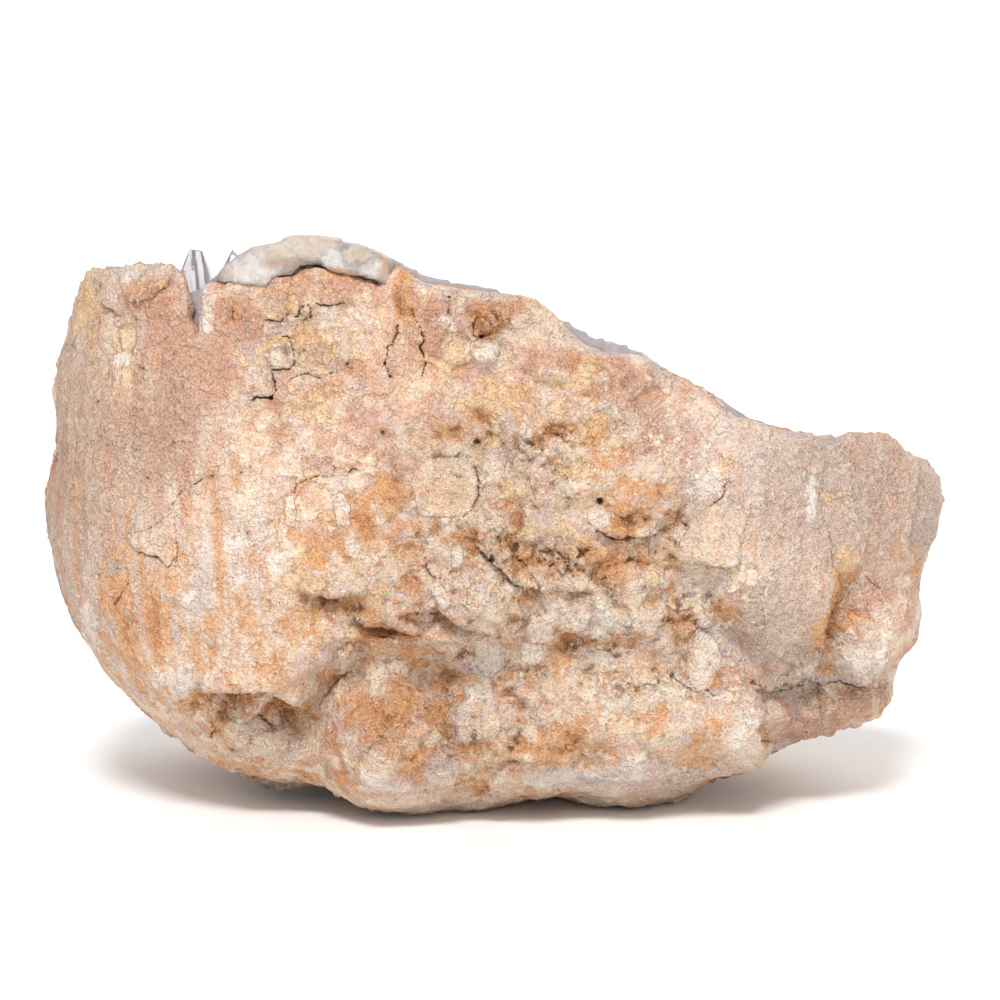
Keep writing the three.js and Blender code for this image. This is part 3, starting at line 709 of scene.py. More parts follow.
print("shaping the rind")
liningSurface = surfaceOf("quartz_lining")
rindEdges = sharpEdges("rind", rindShape["sharpAngle"])
rind = copyOfNode("rind", "weathered_rind")
applyModifier(rind, "REMESH", mode="VOXEL", voxel_size=rindShape["voxel"] * millimetre)
points = meshArray(rind.data.vertices, "co")
weightGroup(rind, "calm", smoothStep(rindShape["sharpFrom"], rindShape["sharpTo"], edgeDistance(rindEdges, points)))
applyModifier(rind, "SMOOTH", factor=0.5, iterations=rindShape["smoothing"], vertex_group="calm")
centres = meshArray(rind.data.polygons, "center")
hidden = distanceTo(liningSurface, centres, 0.02) < rindShape["hiddenWithin"] * millimetre
thinHidden(rind, hidden, rindShape["hiddenShare"])
print("rind base", triangleCount(rind))
refine(rind, outerFaces(rind) & frontFaces(rind, 0.0))
print("rind refined once", triangleCount(rind))
view = faceViews(rind)
wanted = nearFeatures(view) < rindShape["fineNearMarks"]
wanted |= patchField(view, marks["craggy"]) > rindShape["craggyFrom"]
refine(rind, outerFaces(rind) & frontFaces(rind, 0.1) & wanted)
print("rind refined twice", triangleCount(rind))
wanted = nearCracks(faceViews(rind)) < rindShape["finestNearCracks"]
refine(rind, outerFaces(rind) & frontFaces(rind, 0.1) & wanted)
print("rind triangles", triangleCount(rind))

points = meshArray(rind.data.vertices, "co")
normals = meshArray(rind.data.vertex_normals, "vector")
depthToLining = distanceTo(liningSurface, points, 0.03) / millimetre
skin = smoothStep(1.0, 3.2, depthToLining)
fromEdge = edgeDistance(rindEdges, points)
front = smoothStep(0.0, 0.25, normals @ towardsCamera()) * skin
view = frontView(points)
bend = np.column_stack([
    0.9 * noiseOf(points, 1.2, 1) + 1.3 * noiseOf(points, 3.2, 2) + 2.0 * noiseOf(points, 9, 3),
    0.9 * noiseOf(points, 1.2, 4) + 1.3 * noiseOf(points, 3.2, 5) + 2.0 * noiseOf(points, 9, 6),
])
bentView = view + bend

# what the materials read: marks drawn on the front, and scattered ones on the sides and the back
fields = {}
for seed, (name, (size, level)) in enumerate(scattered.items()):
    drawn = patchField(view + 3 * bend, marks[name])
    loose = 2.2 * noiseOf(points, size, 20 + seed) + 0.8 * noiseOf(points, size / 3, 40 + seed) + level
    fields[name] = np.clip(front * drawn + (1 - front) * loose, -1.5, 1.5)
    writeField(rind, name, fields[name])
upright = smoothStep(-0.4, 0.6, fields["streaks"])
for name, size, seed in (("toneA", 13, 51), ("toneB", 8, 52), ("toneC", 10, 53), ("toneD", 5, 54)):
    even = noiseOf(points, size, seed, 4)
    drawnOut = noiseOf(points, size * 0.6, seed, 4, upright=4.5)
    writeField(rind, name, even * (1 - upright) + drawnOut * upright)

rugged = 0.35 + 0.9 * smoothStep(-0.2, 0.8, fields["rugged"])
height = np.zeros(len(points))
for size, lumpHeight, seed in lumps:
    height += lumpHeight * noiseOf(points, size, seed + 60) * (0.5 + 0.5 * rugged)
for name, layer in skinLayers.items():
    level = noiseOf(points, layer["size"], layer["seed"], layer["octaves"])
    level += 0.25 * (rugged - 0.8)
    writeField(rind, name, level)
    height += layer["height"] * rugged * (smoothStep(-layer["sharpness"], layer["sharpness"], level) - 0.5)
bulging = smoothStep(-0.3, 0.9, fields["bulging"])
for size, bulgeHeight, seed in bulges:
    height += bulging * bulgeHeight * (np.abs(noiseOf(points, size, seed)) * 1.6 - 0.35)
craggy = smoothStep(0.0, 0.7, fields["craggy"])
gaps = np.full(len(points), 1.0)
for size, blockHeight, seed in blocks:
    level, gap = cellular(points, size, seed)
    height += craggy * blockHeight * (0.9 * level - 0.5 * (1 - smoothStep(0.0, 0.16, gap)))
    gaps = np.minimum(gaps, gap * size / 5)
writeField(rind, "gap", 1 - craggy * (1 - smoothStep(0.0, 0.35, gaps)))

drawn = np.zeros(len(points))
for x, y, halfWidth, halfHeight, turn, out in swellings:
    radius = ellipseRadius(view + 2 * bend, x, y, halfWidth * 1.25, halfHeight * 1.25, turn)
    drawn += rindShape["swellings"] * out * np.clip(1 - radius ** 2, 0, 1) ** 1.5
for line, drop, reachAbove, reachBelow in ledges:
    distance, side, along = lineDistance(view + 1.6 * bend, line)
    ends = smoothStep(0, 0.12, along) * smoothStep(0, 0.12, 1 - along)
    signed = side * distance
    above = np.exp(np.minimum(signed, 0) / reachAbove)
    below = np.exp(-np.maximum(signed, 0) / reachBelow)
    step = smoothStep(-2.5, 2.5, signed)
    drawn += rindShape["ledges"] * ends * drop * (0.4 * (1 - step) * above - 0.6 * step * below)
plateEdge = np.full(len(points), -12.0)
for outline, out in plates:
    inside = insideOf(bentView, outline)
    drawn += rindShape["plates"] * out * smoothStep(-1.0, 1.0, inside)
    plateEdge = np.maximum(plateEdge, inside)
crackDistance = np.full(len(points), 20.0)
opened = np.clip(0.75 + 1.1 * noiseOf(points, 5, 91) + 0.5 * noiseOf(points, 1.8, 92), 0.12, 1.5)
for line, halfWidth, depth in cracks:
    distance, _, along = lineDistance(bentView, line)
    taper = 0.25 + 0.75 * np.sqrt(np.clip(4 * along * (1 - along), 0, 1))
    width = rindShape["crackWidth"] * halfWidth * opened * taper
    drawn -= rindShape["crackDepth"] * depth * (1 - smoothStep(0.3, 1.8, distance / width))
    crackDistance = np.minimum(crackDistance, distance / width)
for x, y, radius, depth in holes:
    distance = np.hypot(bentView[:, 0] - x, bentView[:, 1] - y)
    drawn -= depth * (1 - smoothStep(0.5, 1.1, distance / radius))
    crackDistance = np.minimum(crackDistance, distance / radius * 1.1)
height *= 0.15 + 0.85 * smoothStep(0.5, 7, fromEdge)
drawn *= 0.3 + 0.7 * smoothStep(0.5, 7, fromEdge)
height *= 1 - 0.75 * front * smoothStep(-2, 3, plateEdge)
pull(rind, np.maximum(height * skin + drawn * front, -np.maximum(depthToLining - 1.5, 0)))
leanNotch(rind)
for profile, within, ragged in rimProfiles:
    fitRim(rind, profile, within, ragged)
points = meshArray(rind.data.vertices, "co")
points[:, 2] = np.maximum(points[:, 2], 0)  # nothing reaches below the floor
setPoints(rind, points)

writeField(rind, "rimEdge", np.clip(fromEdge, 0, 20))
writeField(rind, "plate", np.where(front > 0.2, plateEdge, -12))
writeField(rind, "crack", np.where(front > 0.2, crackDistance, 20))
normals = meshArray(rind.data.vertex_normals, "vector")
points = meshArray(rind.data.vertices, "co")
writeField(rind, "hollow", np.clip(((relaxed(rind, 14) - points) * normals).sum(1) / millimetre, -2, 2))
smoothAll(rind)
print("rind done", len(rind.data.vertices), "points")


# nodes

def feed(tree, node, values):
    for key, value in values.items():
        if isinstance(value, bpy.types.NodeSocket):
            tree.links.new(value, node.inputs[key])
        else:
            node.inputs[key].default_value = value


def place(tree, kind, values=None, **settings):
    made = tree.nodes.new("ShaderNode" + kind)
    for key, value in settings.items():
        setattr(made, key, value)
    feed(tree, made, values or {})
    return made


def maths(tree, operation, first, second=0.0):
    return place(tree, "Math", {0: first, 1: second}, operation=operation).outputs[0]


def timesAndPlus(tree):
    def times(value, amount):
        return maths(tree, "MULTIPLY", value, amount)

    def plus(value, amount):
        return maths(tree, "ADD", value, amount)
    return times, plus


def between(tree, value, low, high):
    values = {"Value": value, "From Min": low, "From Max": high}
    return place(tree, "MapRange", values, interpolation_type="SMOOTHSTEP").outputs[0]


def blend(tree, factor, first, second, kind="MIX"):
    return place(tree, "Mix", {0: factor, 6: first, 7: second}, data_type="RGBA", blend_type=kind).outputs[2]


def noiseNode(tree, vector, scale, detail, roughness):
    values = {"Vector": vector, "Scale": scale, "Detail": detail, "Roughness": roughness}
    return place(tree, "TexNoise", values).outputs["Fac"]


def readField(tree, name):
    return place(tree, "Attribute", attribute_name=name).outputs["Fac"]


def newGroup(name, inputs, outputs):
    group = bpy.data.node_groups.new(name, "ShaderNodeTree")
    for socketName, kind, value in inputs:
        socket = group.interface.new_socket(socketName, in_out="INPUT", socket_type=kind)
        if value is not None:
            socket.default_value = value
    for socketName, kind in outputs:
        group.interface.new_socket(socketName, in_out="OUTPUT", socket_type=kind)
    return group, group.nodes.new("NodeGroupInput").outputs, group.nodes.new("NodeGroupOutput").inputs


def useGroup(tree, group, values):
    made = tree.nodes.new("ShaderNodeGroup")
    made.node_tree = group
    feed(tree, made, values)
    return made.outputs


def newMaterial(name):
    material = bpy.data.materials.new(name)
    material.use_nodes = True
    tree = material.node_tree
    shader = tree.nodes["Principled BSDF"]
    where = place(tree, "TexCoord").outputs["Object"]
    return material, tree, shader, where


def addBump(tree, shader, height, distance, strength):
    bump = place(tree, "Bump", {"Height": height, "Distance": distance, "Strength": strength})
    tree.links.new(bump.outputs[0], shader.inputs["Normal"])


# a drawn field whose edge is broken up by a pattern, for stains and patches
raggedPatch, given, made = newGroup(
    "ragged_patch",
    [("Field", "NodeSocketFloat", 0.0), ("Pattern", "NodeSocketFloat", 0.0), ("Reach", "NodeSocketFloat", 1.2),
     ("Edge", "NodeSocketFloat", 0.15)],
    [("Mask", "NodeSocketFloat")],
)
total = maths(raggedPatch, "ADD", given["Field"], maths(raggedPatch, "MULTIPLY", given["Pattern"], given["Reach"]))
low = maths(raggedPatch, "MULTIPLY", given["Edge"], -1.0)
raggedPatch.links.new(between(raggedPatch, total, low, given["Edge"]), made["Mask"])

# a layer of skin that ends in a broken edge: a mask of what is left, and a thin line along its rim
skinEdge, given, made = newGroup(
    "skin_edge",
    [("Level", "NodeSocketFloat", 0.0), ("Ragged", "NodeSocketFloat", 0.0), ("Width", "NodeSocketFloat", 0.03)],
    [("Mask", "NodeSocketFloat"), ("Rim", "NodeSocketFloat")],
)
total = maths(skinEdge, "ADD", given["Level"], given["Ragged"])
low = maths(skinEdge, "MULTIPLY", given["Width"], -1.0)
skinEdge.links.new(between(skinEdge, total, low, given["Width"]), made["Mask"])
near = between(skinEdge, maths(skinEdge, "ABSOLUTE", total), 0.0, given["Width"])
skinEdge.links.new(maths(skinEdge, "SUBTRACT", 1.0, near), made["Rim"])


# materials

rindColours = {
    "lilac": colour(216, 192, 180),
    "warm": colour(224, 184, 154),
    "cream": colour(234, 212, 188),
    "salmon": colour(192, 138, 110),
    "grey": colour(208, 194, 186),
    "ochre": colour(228, 184, 132),
    "stain": colour(216, 158, 106),
    "brown": colour(186, 126, 80),
    "deep": colour(144, 96, 64),
    "rust": colour(158, 100, 62),
    "chalk": colour(236, 226, 214),
    "flakes": colour(244, 224, 198),
    # a darker skin colour, used as painted shade on the shaded sides and lobes and as duller skin on the back
    "dull": colour(168, 142, 126),
    "rimQuartz": colour(178, 172, 172),
    "crack": colour(92, 58, 40),
}


def raggedMask(tree, field, pattern, reach, edge):
    return useGroup(tree, raggedPatch, {"Field": field, "Pattern": pattern, "Reach": reach, "Edge": edge})["Mask"]


def brokenSkin(tree, level, ragged, width):
    return useGroup(tree, skinEdge, {"Level": level, "Ragged": ragged, "Width": width})


def patterns(tree, vector, scale, detail, roughness, strength=1.0):
    # three unrelated noises, each about zero
    values = {"Vector": vector, "Scale": scale, "Detail": detail, "Roughness": roughness}
    made = place(tree, "TexNoise", values).outputs["Color"]
    parts = place(tree, "SeparateColor", {0: made}).outputs
    values = {1: strength, 2: -0.5 * strength}
    return [place(tree, "Math", {0: part, **values}, operation="MULTIPLY_ADD").outputs[0] for part in parts]


def rindMaterial():
    material, tree, shader, where = newMaterial("weathered_crust")
    c = rindColours
    times, plus = timesAndPlus(tree)

    def inverse(value):
        return maths(tree, "SUBTRACT", 1.0, value)

    def read(name):
        return readField(tree, name)

    def coat(mask, amount, name):
        return blend(tree, times(mask, amount), tone, c[name])

    def drawnOut(even, washed):
        return place(tree, "Mix", {0: times(streaky, 0.8), 2: even, 3: times(washed, 0.9)}).outputs[0]

    fineA, fineB, fineC = patterns(tree, where, 560, 3, 0.7, 0.83)
    midA, midB, midC = patterns(tree, where, 210, 2, 0.66, 0.84)
    speckA, speckB, _ = patterns(tree, where, 1700, 0, 0.7, 0.52)
    wash = place(tree, "Mapping", {"Vector": where, "Scale": (1, 1, 0.14)}).outputs[0]
    washA, washB, washC = patterns(tree, wash, 300, 2, 0.68, 0.85)

    evenB = midB
    streaky = between(tree, read("streaks"), -0.3, 0.9)
    midA, midB, midC = [drawnOut(even, washed) for even, washed in ((midA, washA), (midB, washB), (midC, washC))]

    broad = brokenSkin(tree, read("skinBroad"), times(fineA, 0.6), 0.03)
    middle = brokenSkin(tree, read("skinMiddle"), times(fineB, 0.7), 0.05)
    rugged = between(tree, read("rugged"), -0.4, 0.9)
    raised = plus(times(broad["Mask"], 0.5), times(middle["Mask"], 0.5))
    bare = inverse(raised)
    hollow = between(tree, read("hollow"), 0.0, 0.9)
    gap = inverse(read("gap"))

    hue = raggedMask(tree, read("toneA"), plus(midA, times(fineA, 0.3)), 2.4, 0.35)
    tone = blend(tree, hue, c["lilac"], c["warm"])
    creamMask = raggedMask(tree, plus(read("toneB"), 0.02), plus(midB, times(fineB, 0.4)), 2.8, 0.35)
    tone = coat(creamMask, 0.85, "cream")
    for field, level, washed, fine, edge, amount, name in (
        ("toneD", -0.5, washA, fineC, 0.5, 0.3, "stain"),
        ("toneC", -0.6, washB, fineA, 0.45, 0.35, "chalk"),
    ):
        streakField = plus(times(read(field), 0.5), plus(times(streaky, 0.5), level))
        streak = raggedMask(tree, streakField, plus(washed, times(fine, 0.2)), 4.0, edge)
        tone = coat(streak, amount, name)
    salmonField = plus(read("salmon"), times(read("toneC"), 0.8))
    salmonMask = raggedMask(tree, salmonField, plus(midC, times(fineC, 0.4)), 2.0, 0.5)
    tone = coat(salmonMask, 0.75, "salmon")
    greyMask = raggedMask(tree, plus(read("grey"), times(read("toneD"), 0.5)), plus(midA, fineB), 2.0, 0.5)
    tone = coat(greyMask, 0.65, "grey")

    # painted shade: darkens the left side, the right wall and the lobes turned away from the light, and scatters duller
    # skin on the sides and the back
    dullAndShadeMask = raggedMask(tree, plus(read("dull"), -0.25), plus(midB, times(fineA, 0.6)), 0.8, 0.45)
    tone = coat(dullAndShadeMask, 0.55, "dull")

    # ochre and brown stains lie where the skin has gone and in the hollows
    ochreField = plus(plus(read("ochre"), times(read("toneD"), 0.9)), plus(times(bare, 0.5), -0.45))
    ochreMask = raggedMask(tree, ochreField, plus(midB, times(fineC, 0.5)), 3.0, 0.25)
    tone = coat(ochreMask, 0.6, "ochre")
    ochreEdge = plus(plus(ochreField, 0.1), times(plus(midB, times(fineC, 0.5)), 2.6))
    ochreRim = inverse(between(tree, maths(tree, "ABSOLUTE", ochreEdge), 0.0, 0.16))
    tone = coat(ochreRim, 0.35, "rust")
    stainField = plus(
        plus(read("stain"), times(read("toneC"), 0.9)),
        plus(times(bare, 0.5), plus(times(hollow, 0.4), -0.5)),
    )
    stainMask = raggedMask(tree, stainField, plus(midC, times(fineA, 0.5)), 3.4, 0.4)
    tone = coat(stainMask, 0.75, "stain")
    brownField = plus(plus(stainField, -0.75), times(gap, 0.6))
    brownMask = raggedMask(tree, brownField, plus(midA, times(fineB, 0.8)), 3.6, 0.35)
    tone = coat(brownMask, 0.6, "brown")
    deepField = plus(brownField, plus(times(hollow, 0.5), -0.6))
    deepMask = raggedMask(tree, deepField, plus(midB, times(fineC, 0.9)), 3.6, 0.3)
    tone = coat(deepMask, 0.6, "deep")

    chalkMask = raggedMask(tree, plus(read("chalk"), -0.2), plus(midB, fineA), 2.2, 0.2)
    tone = coat(chalkMask, 0.7, "chalk")
    flakeField = plus(plus(read("flakes"), times(raised, 0.3)), -0.8)
    flakeMask = raggedMask(tree, flakeField, plus(midC, times(fineB, 1.0)), 4.0, 0.14)
    tone = coat(flakeMask, 0.8, "flakes")

    plateField = plus(read("plate"), times(fineA, 2.4))
    plateRim = inverse(between(tree, maths(tree, "ABSOLUTE", plateField), 0.1, 0.8))
    plateMask = between(tree, plateField, -0.3, 0.3)
    tone = coat(plateMask, 0.22, "flakes")

    peel = between(tree, plus(evenB, times(fineC, 0.3)), 0.02, 0.06)
    tone = coat(peel, 0.1, "flakes")

    # thin rusty lines where one layer of skin ends
    seldom = between(tree, plus(midC, midA), 0.0, 0.14)
    lines = plus(times(broad["Rim"], 0.8), times(middle["Rim"], 0.6))
    lines = times(lines, times(seldom, plus(times(rugged, 0.7), 0.5)))
    lines = maths(tree, "MAXIMUM", lines, times(times(plateRim, 0.7), between(tree, plus(midB, fineB), -0.06, 0.06)))
    tone = coat(lines, 0.62, "rust")

    speckle = between(tree, plus(speckA, times(fineC, 0.6)), -0.22, 0.22)
    tone = blend(tree, 0.4, tone, blend(tree, speckle, colour(110, 103, 97), colour(246, 246, 246)), "OVERLAY")
    pores = between(tree, plus(speckB, times(fineB, 0.8)), 0.26, 0.34)
    tone = coat(pores, 0.3, "brown")

    rim = inverse(between(tree, plus(read("rimEdge"), times(fineA, 5.0)), 0.4, 2.0))
    tone = blend(tree, times(times(rim, greyMask), 0.9), tone, c["rimQuartz"])
    crackField = plus(read("crack"), times(fineA, 1.6))
    crackMask = inverse(between(tree, crackField, 0.5, 1.2))
    halo = inverse(between(tree, read("crack"), 1.0, 7.0))
    tone = coat(halo, 0.25, "rust")
    uneven = between(tree, plus(midA, fineC), -0.2, 0.1)
    tone = blend(tree, times(crackMask, plus(times(uneven, 0.35), 0.62)), tone, c["crack"])
    tree.links.new(tone, shader.inputs["Base Color"])

    grainMask = between(tree, read("grain"), -0.3, 0.6)
    stepped = plus(times(rugged, 0.75), 0.25)
    relief = times(fineA, plus(times(rugged, 1.8), 1.8))
    relief = plus(relief, times(peel, 0.4))
    relief = plus(relief, times(evenB, 1.1))
    relief = plus(relief, times(speckA, plus(times(grainMask, 0.6), 0.6)))
    relief = plus(relief, times(times(broad["Mask"], 0.3), stepped))
    relief = plus(relief, times(times(middle["Mask"], 0.3), stepped))
    relief = plus(relief, times(plateMask, 0.3))
    relief = plus(relief, times(crackMask, -0.6))
    addBump(tree, shader, relief, millimetre, 1.0)
    feed(tree, shader, {"Roughness": 0.92, "Specular IOR Level": 0.25})
    return material


bandColours = {
    "milky": colour(188, 179, 173),
    "smoky": colour(164, 156, 153),
    "lilac": colour(160, 152, 156),
    "beige": colour(202, 186, 168),
    "brown": colour(172, 146, 124),
    "white": colour(216, 212, 209),
    "crumb": colour(194, 176, 157),
    "ochre": colour(186, 144, 104),
}
# each mark on the band: how far its pattern reaches, how soft its edge is, and how strong it shows
bandLayers = {
    "lilac": (1.2, 0.5, 0.85),
    "beige": (1.6, 0.5, 0.85),
    "white": (2.2, 0.45, 0.85),
    "brown": (1.6, 0.5, 0.8),
    "crumb": (2.4, 0.5, 0.8),
    "ochre": (2.0, 0.4, 0.7),
}
quartzIor = 1.544


def quartzMaterial():
    material, tree, shader, where = newMaterial("milky_quartz")
    c = bandColours
    times, plus = timesAndPlus(tree)

    def markMask(name):
        reach, edge, _ = bandLayers[name]
        return raggedMask(tree, plus(readField(tree, name), -0.15), plus(broadB, fineB), reach, edge)

    broadA, broadB, broadC = patterns(tree, where, 80, 6, 0.68)
    fineA, fineB, fineC = patterns(tree, where, 420, 6, 0.7)
    tone = blend(tree, between(tree, broadA, -0.12, 0.12), c["smoky"], c["milky"])
    for name, (_, _, amount) in bandLayers.items():
        tone = blend(tree, times(markMask(name), amount), tone, c[name])
    speckle = between(tree, fineC, -0.2, 0.2)
    tone = blend(tree, 0.16, tone, blend(tree, speckle, colour(120, 120, 120), colour(255, 255, 255)), "OVERLAY")
    tree.links.new(tone, shader.inputs["Base Color"])
    crumbs = markMask("crumb")
    relief = plus(times(broadC, 1.6), plus(times(fineA, 0.9), times(crumbs, 0.7)))
    addBump(tree, shader, relief, millimetre, 1.0)
    values = {"Roughness": 0.45, "IOR": quartzIor, "Subsurface Weight": 0.15, "Subsurface Scale": 0.003}
    feed(tree, shader, values)
    return material


# how clear each quartz is, and the colour and strength with which the clear ones absorb light
crystalKinds = {
    "clear_quartz": {
        "pale": colour(255, 255, 255), "deep": colour(248, 247, 249), "clearness": 0.9,
        "inside": (0.96, 0.95, 0.97, 1), "density": 10.0,
    },
    "smoky_quartz": {
        "pale": colour(252, 250, 251), "deep": colour(242, 239, 241), "clearness": 0.9,
        "inside": (0.82, 0.78, 0.81, 1), "density": 25.0,
    },
    "sugary_quartz": {"pale": colour(250, 249, 250), "deep": colour(226, 222, 226), "clearness": 0.3},
}


def crystalMaterial(name, pale, deep, clearness, inside=None, density=0.0):
    material, tree, shader, where = newMaterial(name)
    cloud = between(tree, noiseNode(tree, where, 60, 4, 0.6), 0.35, 0.65)
    tree.links.new(blend(tree, cloud, deep, pale), shader.inputs["Base Color"])
    growth = noiseNode(tree, where, 500, 2, 0.5)
    addBump(tree, shader, growth, 0.2 * millimetre, 0.35)
    feed(tree, shader, {"Roughness": 0.06, "IOR": quartzIor, "Transmission Weight": clearness})
    if inside:
        absorbing = place(tree, "VolumeAbsorption", {"Color": inside, "Density": density}).outputs[0]
        tree.links.new(absorbing, tree.nodes["Material Output"].inputs["Volume"])
    return material


crustMaterial = rindMaterial()
milkyMaterial = quartzMaterial()
pointMaterial, smokyMaterial, sugaryMaterial = [
    crystalMaterial(name, **values) for name, values in crystalKinds.items()
]
rind.data.materials.append(crustMaterial)
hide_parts("rind")
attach(rind, "root")


# the quartz band and its druse

# middle and stepAcross place the steps of the front view on the band's front, in millimetres
bandShape = {
    "voxel": 2.4,
    "smoothing": 2,
    "behind": -0.4,
    "mostForward": 0.014,
    "overlap": 1.0,
    "middle": (6.3, 100.8),
    "stepAcross": 0.299,
    "belowEdge": 2.5,
    "crustEdge": [
        (200, 284), (220, 281), (230, 280), (238, 282), (256, 285), (268, 286), (274, 277), (281, 275), (293, 275),
        (302, 267), (320, 265), (328, 270), (348, 275), (360, 276), (373, 280), (383, 284), (395, 296),
    ],
}
# the top of the quartz seen from the front, where it shows above the crust
bandProfiles = [
    [
        (88, 268), (96, 265), (120, 264), (150, 264), (162, 266), (176, 272),
    ],
    [
        (222, 266), (236, 257), (246, 248), (256, 246), (270, 244), (290, 235), (310, 234), (330, 236), (350, 241),
        (370, 246), (390, 256), (400, 262), (412, 268), (430, 277), (450, 281), (490, 288), (520, 296), (545, 308),
        (556, 313), (570, 323), (590, 336), (630, 347), (650, 357), (680, 378), (700, 388), (716, 396), (730, 404),
        (744, 416), (770, 428), (818, 437), (826, 433), (836, 434), (846, 438),
    ],
]
bandMarks = {
    "lilac": [
        (205, 296, 22, 40, 0, 1.6), (240, 262, 26, 22, 0, 0.9), (126, 266, 50, 10, 0, 1.4),
        (600, 335, 60, 30, 20, 1.3), (470, 286, 60, 14, 8, 1.3), (730, 415, 30, 18, 20, 1.4),
    ],
    "beige": [
        (300, 248, 46, 14, -4, 1.2), (245, 270, 30, 12, 0, 0.6),
    ],
    "white": [
        (340, 261, 16, 12, 10, 1.3), (376, 270, 16, 12, 20, 1.1), (258, 268, 20, 10, 0, 0.4),
    ],
    "brown": [
        (290, 263, 24, 6, 0, 1.0), (276, 262, 12, 6, 0, 0.9),
    ],
    "crumb": [
        (359, 253, 18, 13, 20, 1.0), (300, 268, 16, 4, -10, 0.6),
    ],
    "ochre": [
        (342, 271, 14, 4, 12, 0.9), (386, 268, 6, 14, 20, 0.6),
    ],
}
bandLoose = {"white": 0.1, "beige": -0.15, "brown": -0.5, "crumb": -0.7, "ochre": -0.75, "lilac": -0.1}
# rimLine and lipLine are the broken edge's height from left to right, at its front and at its back
druseShape = {
    "large": 7.0,
    "small": 3.3,
    "largeShare": 0.008,
    "tries": 60000,
    "spread": 0.7,
    "tilt": 30,
    "kinds": 6,
    "shoulder": 0.5,
    "tip": 1.9,
    "wall": 5,
    "rimLine": [
        (-0.124, 0.168), (-0.06, 0.172), (0, 0.165), (0.033, 0.149), (0.066, 0.133), (0.101, 0.118), (0.12, 0.116),
        (0.138, 0.109),
    ],
    "lipLine": [(-0.14, 0.066), (0.14, 0.050)],
    "frontAndBack": (-0.066, 0.09),
    "belowBreak": 0.009,
}

print("shaping the quartz band")
band = copyOfNode("quartz_lining", "quartz_band")
applyModifier(band, "REMESH", mode="VOXEL", voxel_size=bandShape["voxel"] * millimetre)
applyModifier(band, "SMOOTH", factor=0.5, iterations=bandShape["smoothing"])
refine(band, frontFaces(band, -0.2) & (faceViews(band)[:, 1] < 330))
points = meshArray(band.data.vertices, "co")
normals = meshArray(band.data.vertex_normals, "vector")
view = frontView(points)
edgeX, edgeY = np.array(bandShape["crustEdge"], float).T
crustSurface = BVHTree.FromPolygons([v.co for v in rind.data.vertices], [p.vertices for p in rind.data.polygons])
columns = np.arange(edgeX[0], edgeX[-1] + 1, 4)
middleX, middleZ = bandShape["middle"]
crustFront = []
for x, y in zip(columns, np.interp(columns, edgeX, edgeY)):
    across = (middleX + (x - viewMiddle) * bandShape["stepAcross"]) * millimetre
    height = (middleZ + (viewMiddle - y) * stepSize - bandShape["belowEdge"]) * millimetre
    hit = crustSurface.ray_cast(Vector((across, -0.3, height)), Vector((0, 1, 0)))[0]
    crustFront.append(hit.y if hit else np.nan)
crustFront = np.array(crustFront)
crustFront[np.isnan(crustFront)] = np.nanmedian(crustFront)
target = np.interp(view[:, 0], columns, crustFront) + bandShape["behind"] * millimetre
above = smoothStep(-6, 2, np.interp(view[:, 0], edgeX, edgeY) - view[:, 1])
facing = smoothStep(-0.3, 0.5, normals @ towardsCamera())
ends = smoothStep(212, 226, view[:, 0]) * (1 - smoothStep(384, 396, view[:, 0]))
inFront = points[:, 1] < -0.03
forward = np.clip(points[:, 1] - target, 0, bandShape["mostForward"]) * above * facing * ends * inFront
points[:, 1] -= forward
setPoints(band, points)
seam = 1 - smoothStep(0.8, 4.0, distanceTo(crustSurface, points, 0.03) / millimetre)
loose = 0.7 * noiseOf(points, 6, 71) + 0.5 * noiseOf(points, 2.6, 72) + 0.8 * noiseOf(points, 14, 73)
seen = facing * inFront * (view[:, 0] > 214) * (view[:, 0] < 400)
pull(band, loose * (1 - 0.8 * seam) * (1 - 0.5 * seen) + bandShape["overlap"] * seam * (1 - seen))
for profile in bandProfiles:
    fitRim(band, profile, -0.02)
bend = np.column_stack([2.2 * noiseOf(points, 3.2, 74), 1.4 * noiseOf(points, 3.2, 75)])
for name, patches in bandMarks.items():
    drawn = patchField(view + bend, patches)
    loose = 1.1 * noiseOf(points, 16, 80 + len(name)) + bandLoose[name]
    writeField(band, name, np.clip(np.where(facing * inFront > 0.3, drawn, loose), -1.5, 1.5))
smoothAll(band)
band.data.materials.append(milkyMaterial)
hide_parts("quartz_lining")
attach(band, "root")


def crystalShapes():
    shapes = []
    for kind in range(druseShape["kinds"]):
        bpy.ops.object.select_all(action="DESELECT")
        bpy.ops.mesh.primitive_cylinder_add(vertices=6, radius=1, depth=2, location=(0, 0, 0))
        point = bpy.context.object
        bpy.ops.object.mode_set(mode="EDIT")
        bpy.context.tool_settings.mesh_select_mode = (False, False, True)
        bpy.ops.mesh.select_all(action="DESELECT")
        bpy.ops.object.mode_set(mode="OBJECT")
        for face in point.data.polygons:
            face.select = face.normal.z > 0.9
        bpy.ops.object.mode_set(mode="EDIT")
        bpy.ops.mesh.extrude_region_move(TRANSFORM_OT_translate={"value": (0, 0, 1.0)})
        bpy.ops.mesh.merge(type="COLLAPSE")
        bpy.ops.mesh.select_all(action="SELECT")
        bpy.ops.mesh.quads_convert_to_tris()
        bpy.ops.object.mode_set(mode="OBJECT")
        for vertex in point.data.vertices:
            if vertex.co.z > 1.5:
                vertex.co.z = druseShape["tip"] + random.uniform(-0.2, 0.2)
                vertex.co.x += random.uniform(-0.25, 0.25)
                vertex.co.y += random.uniform(-0.25, 0.25)
            elif vertex.co.z > 0:
                vertex.co.z = druseShape["shoulder"] + random.uniform(-0.3, 0.25)
            vertex.co.x *= 1 + 0.14 * math.sin(kind * 2.1)
        corners = np.array([v.co for v in point.data.vertices])
        faces = np.array([list(p.vertices) for p in point.data.polygons])
        shapes.append((corners, faces))
        bpy.data.objects.remove(point)
    return shapes


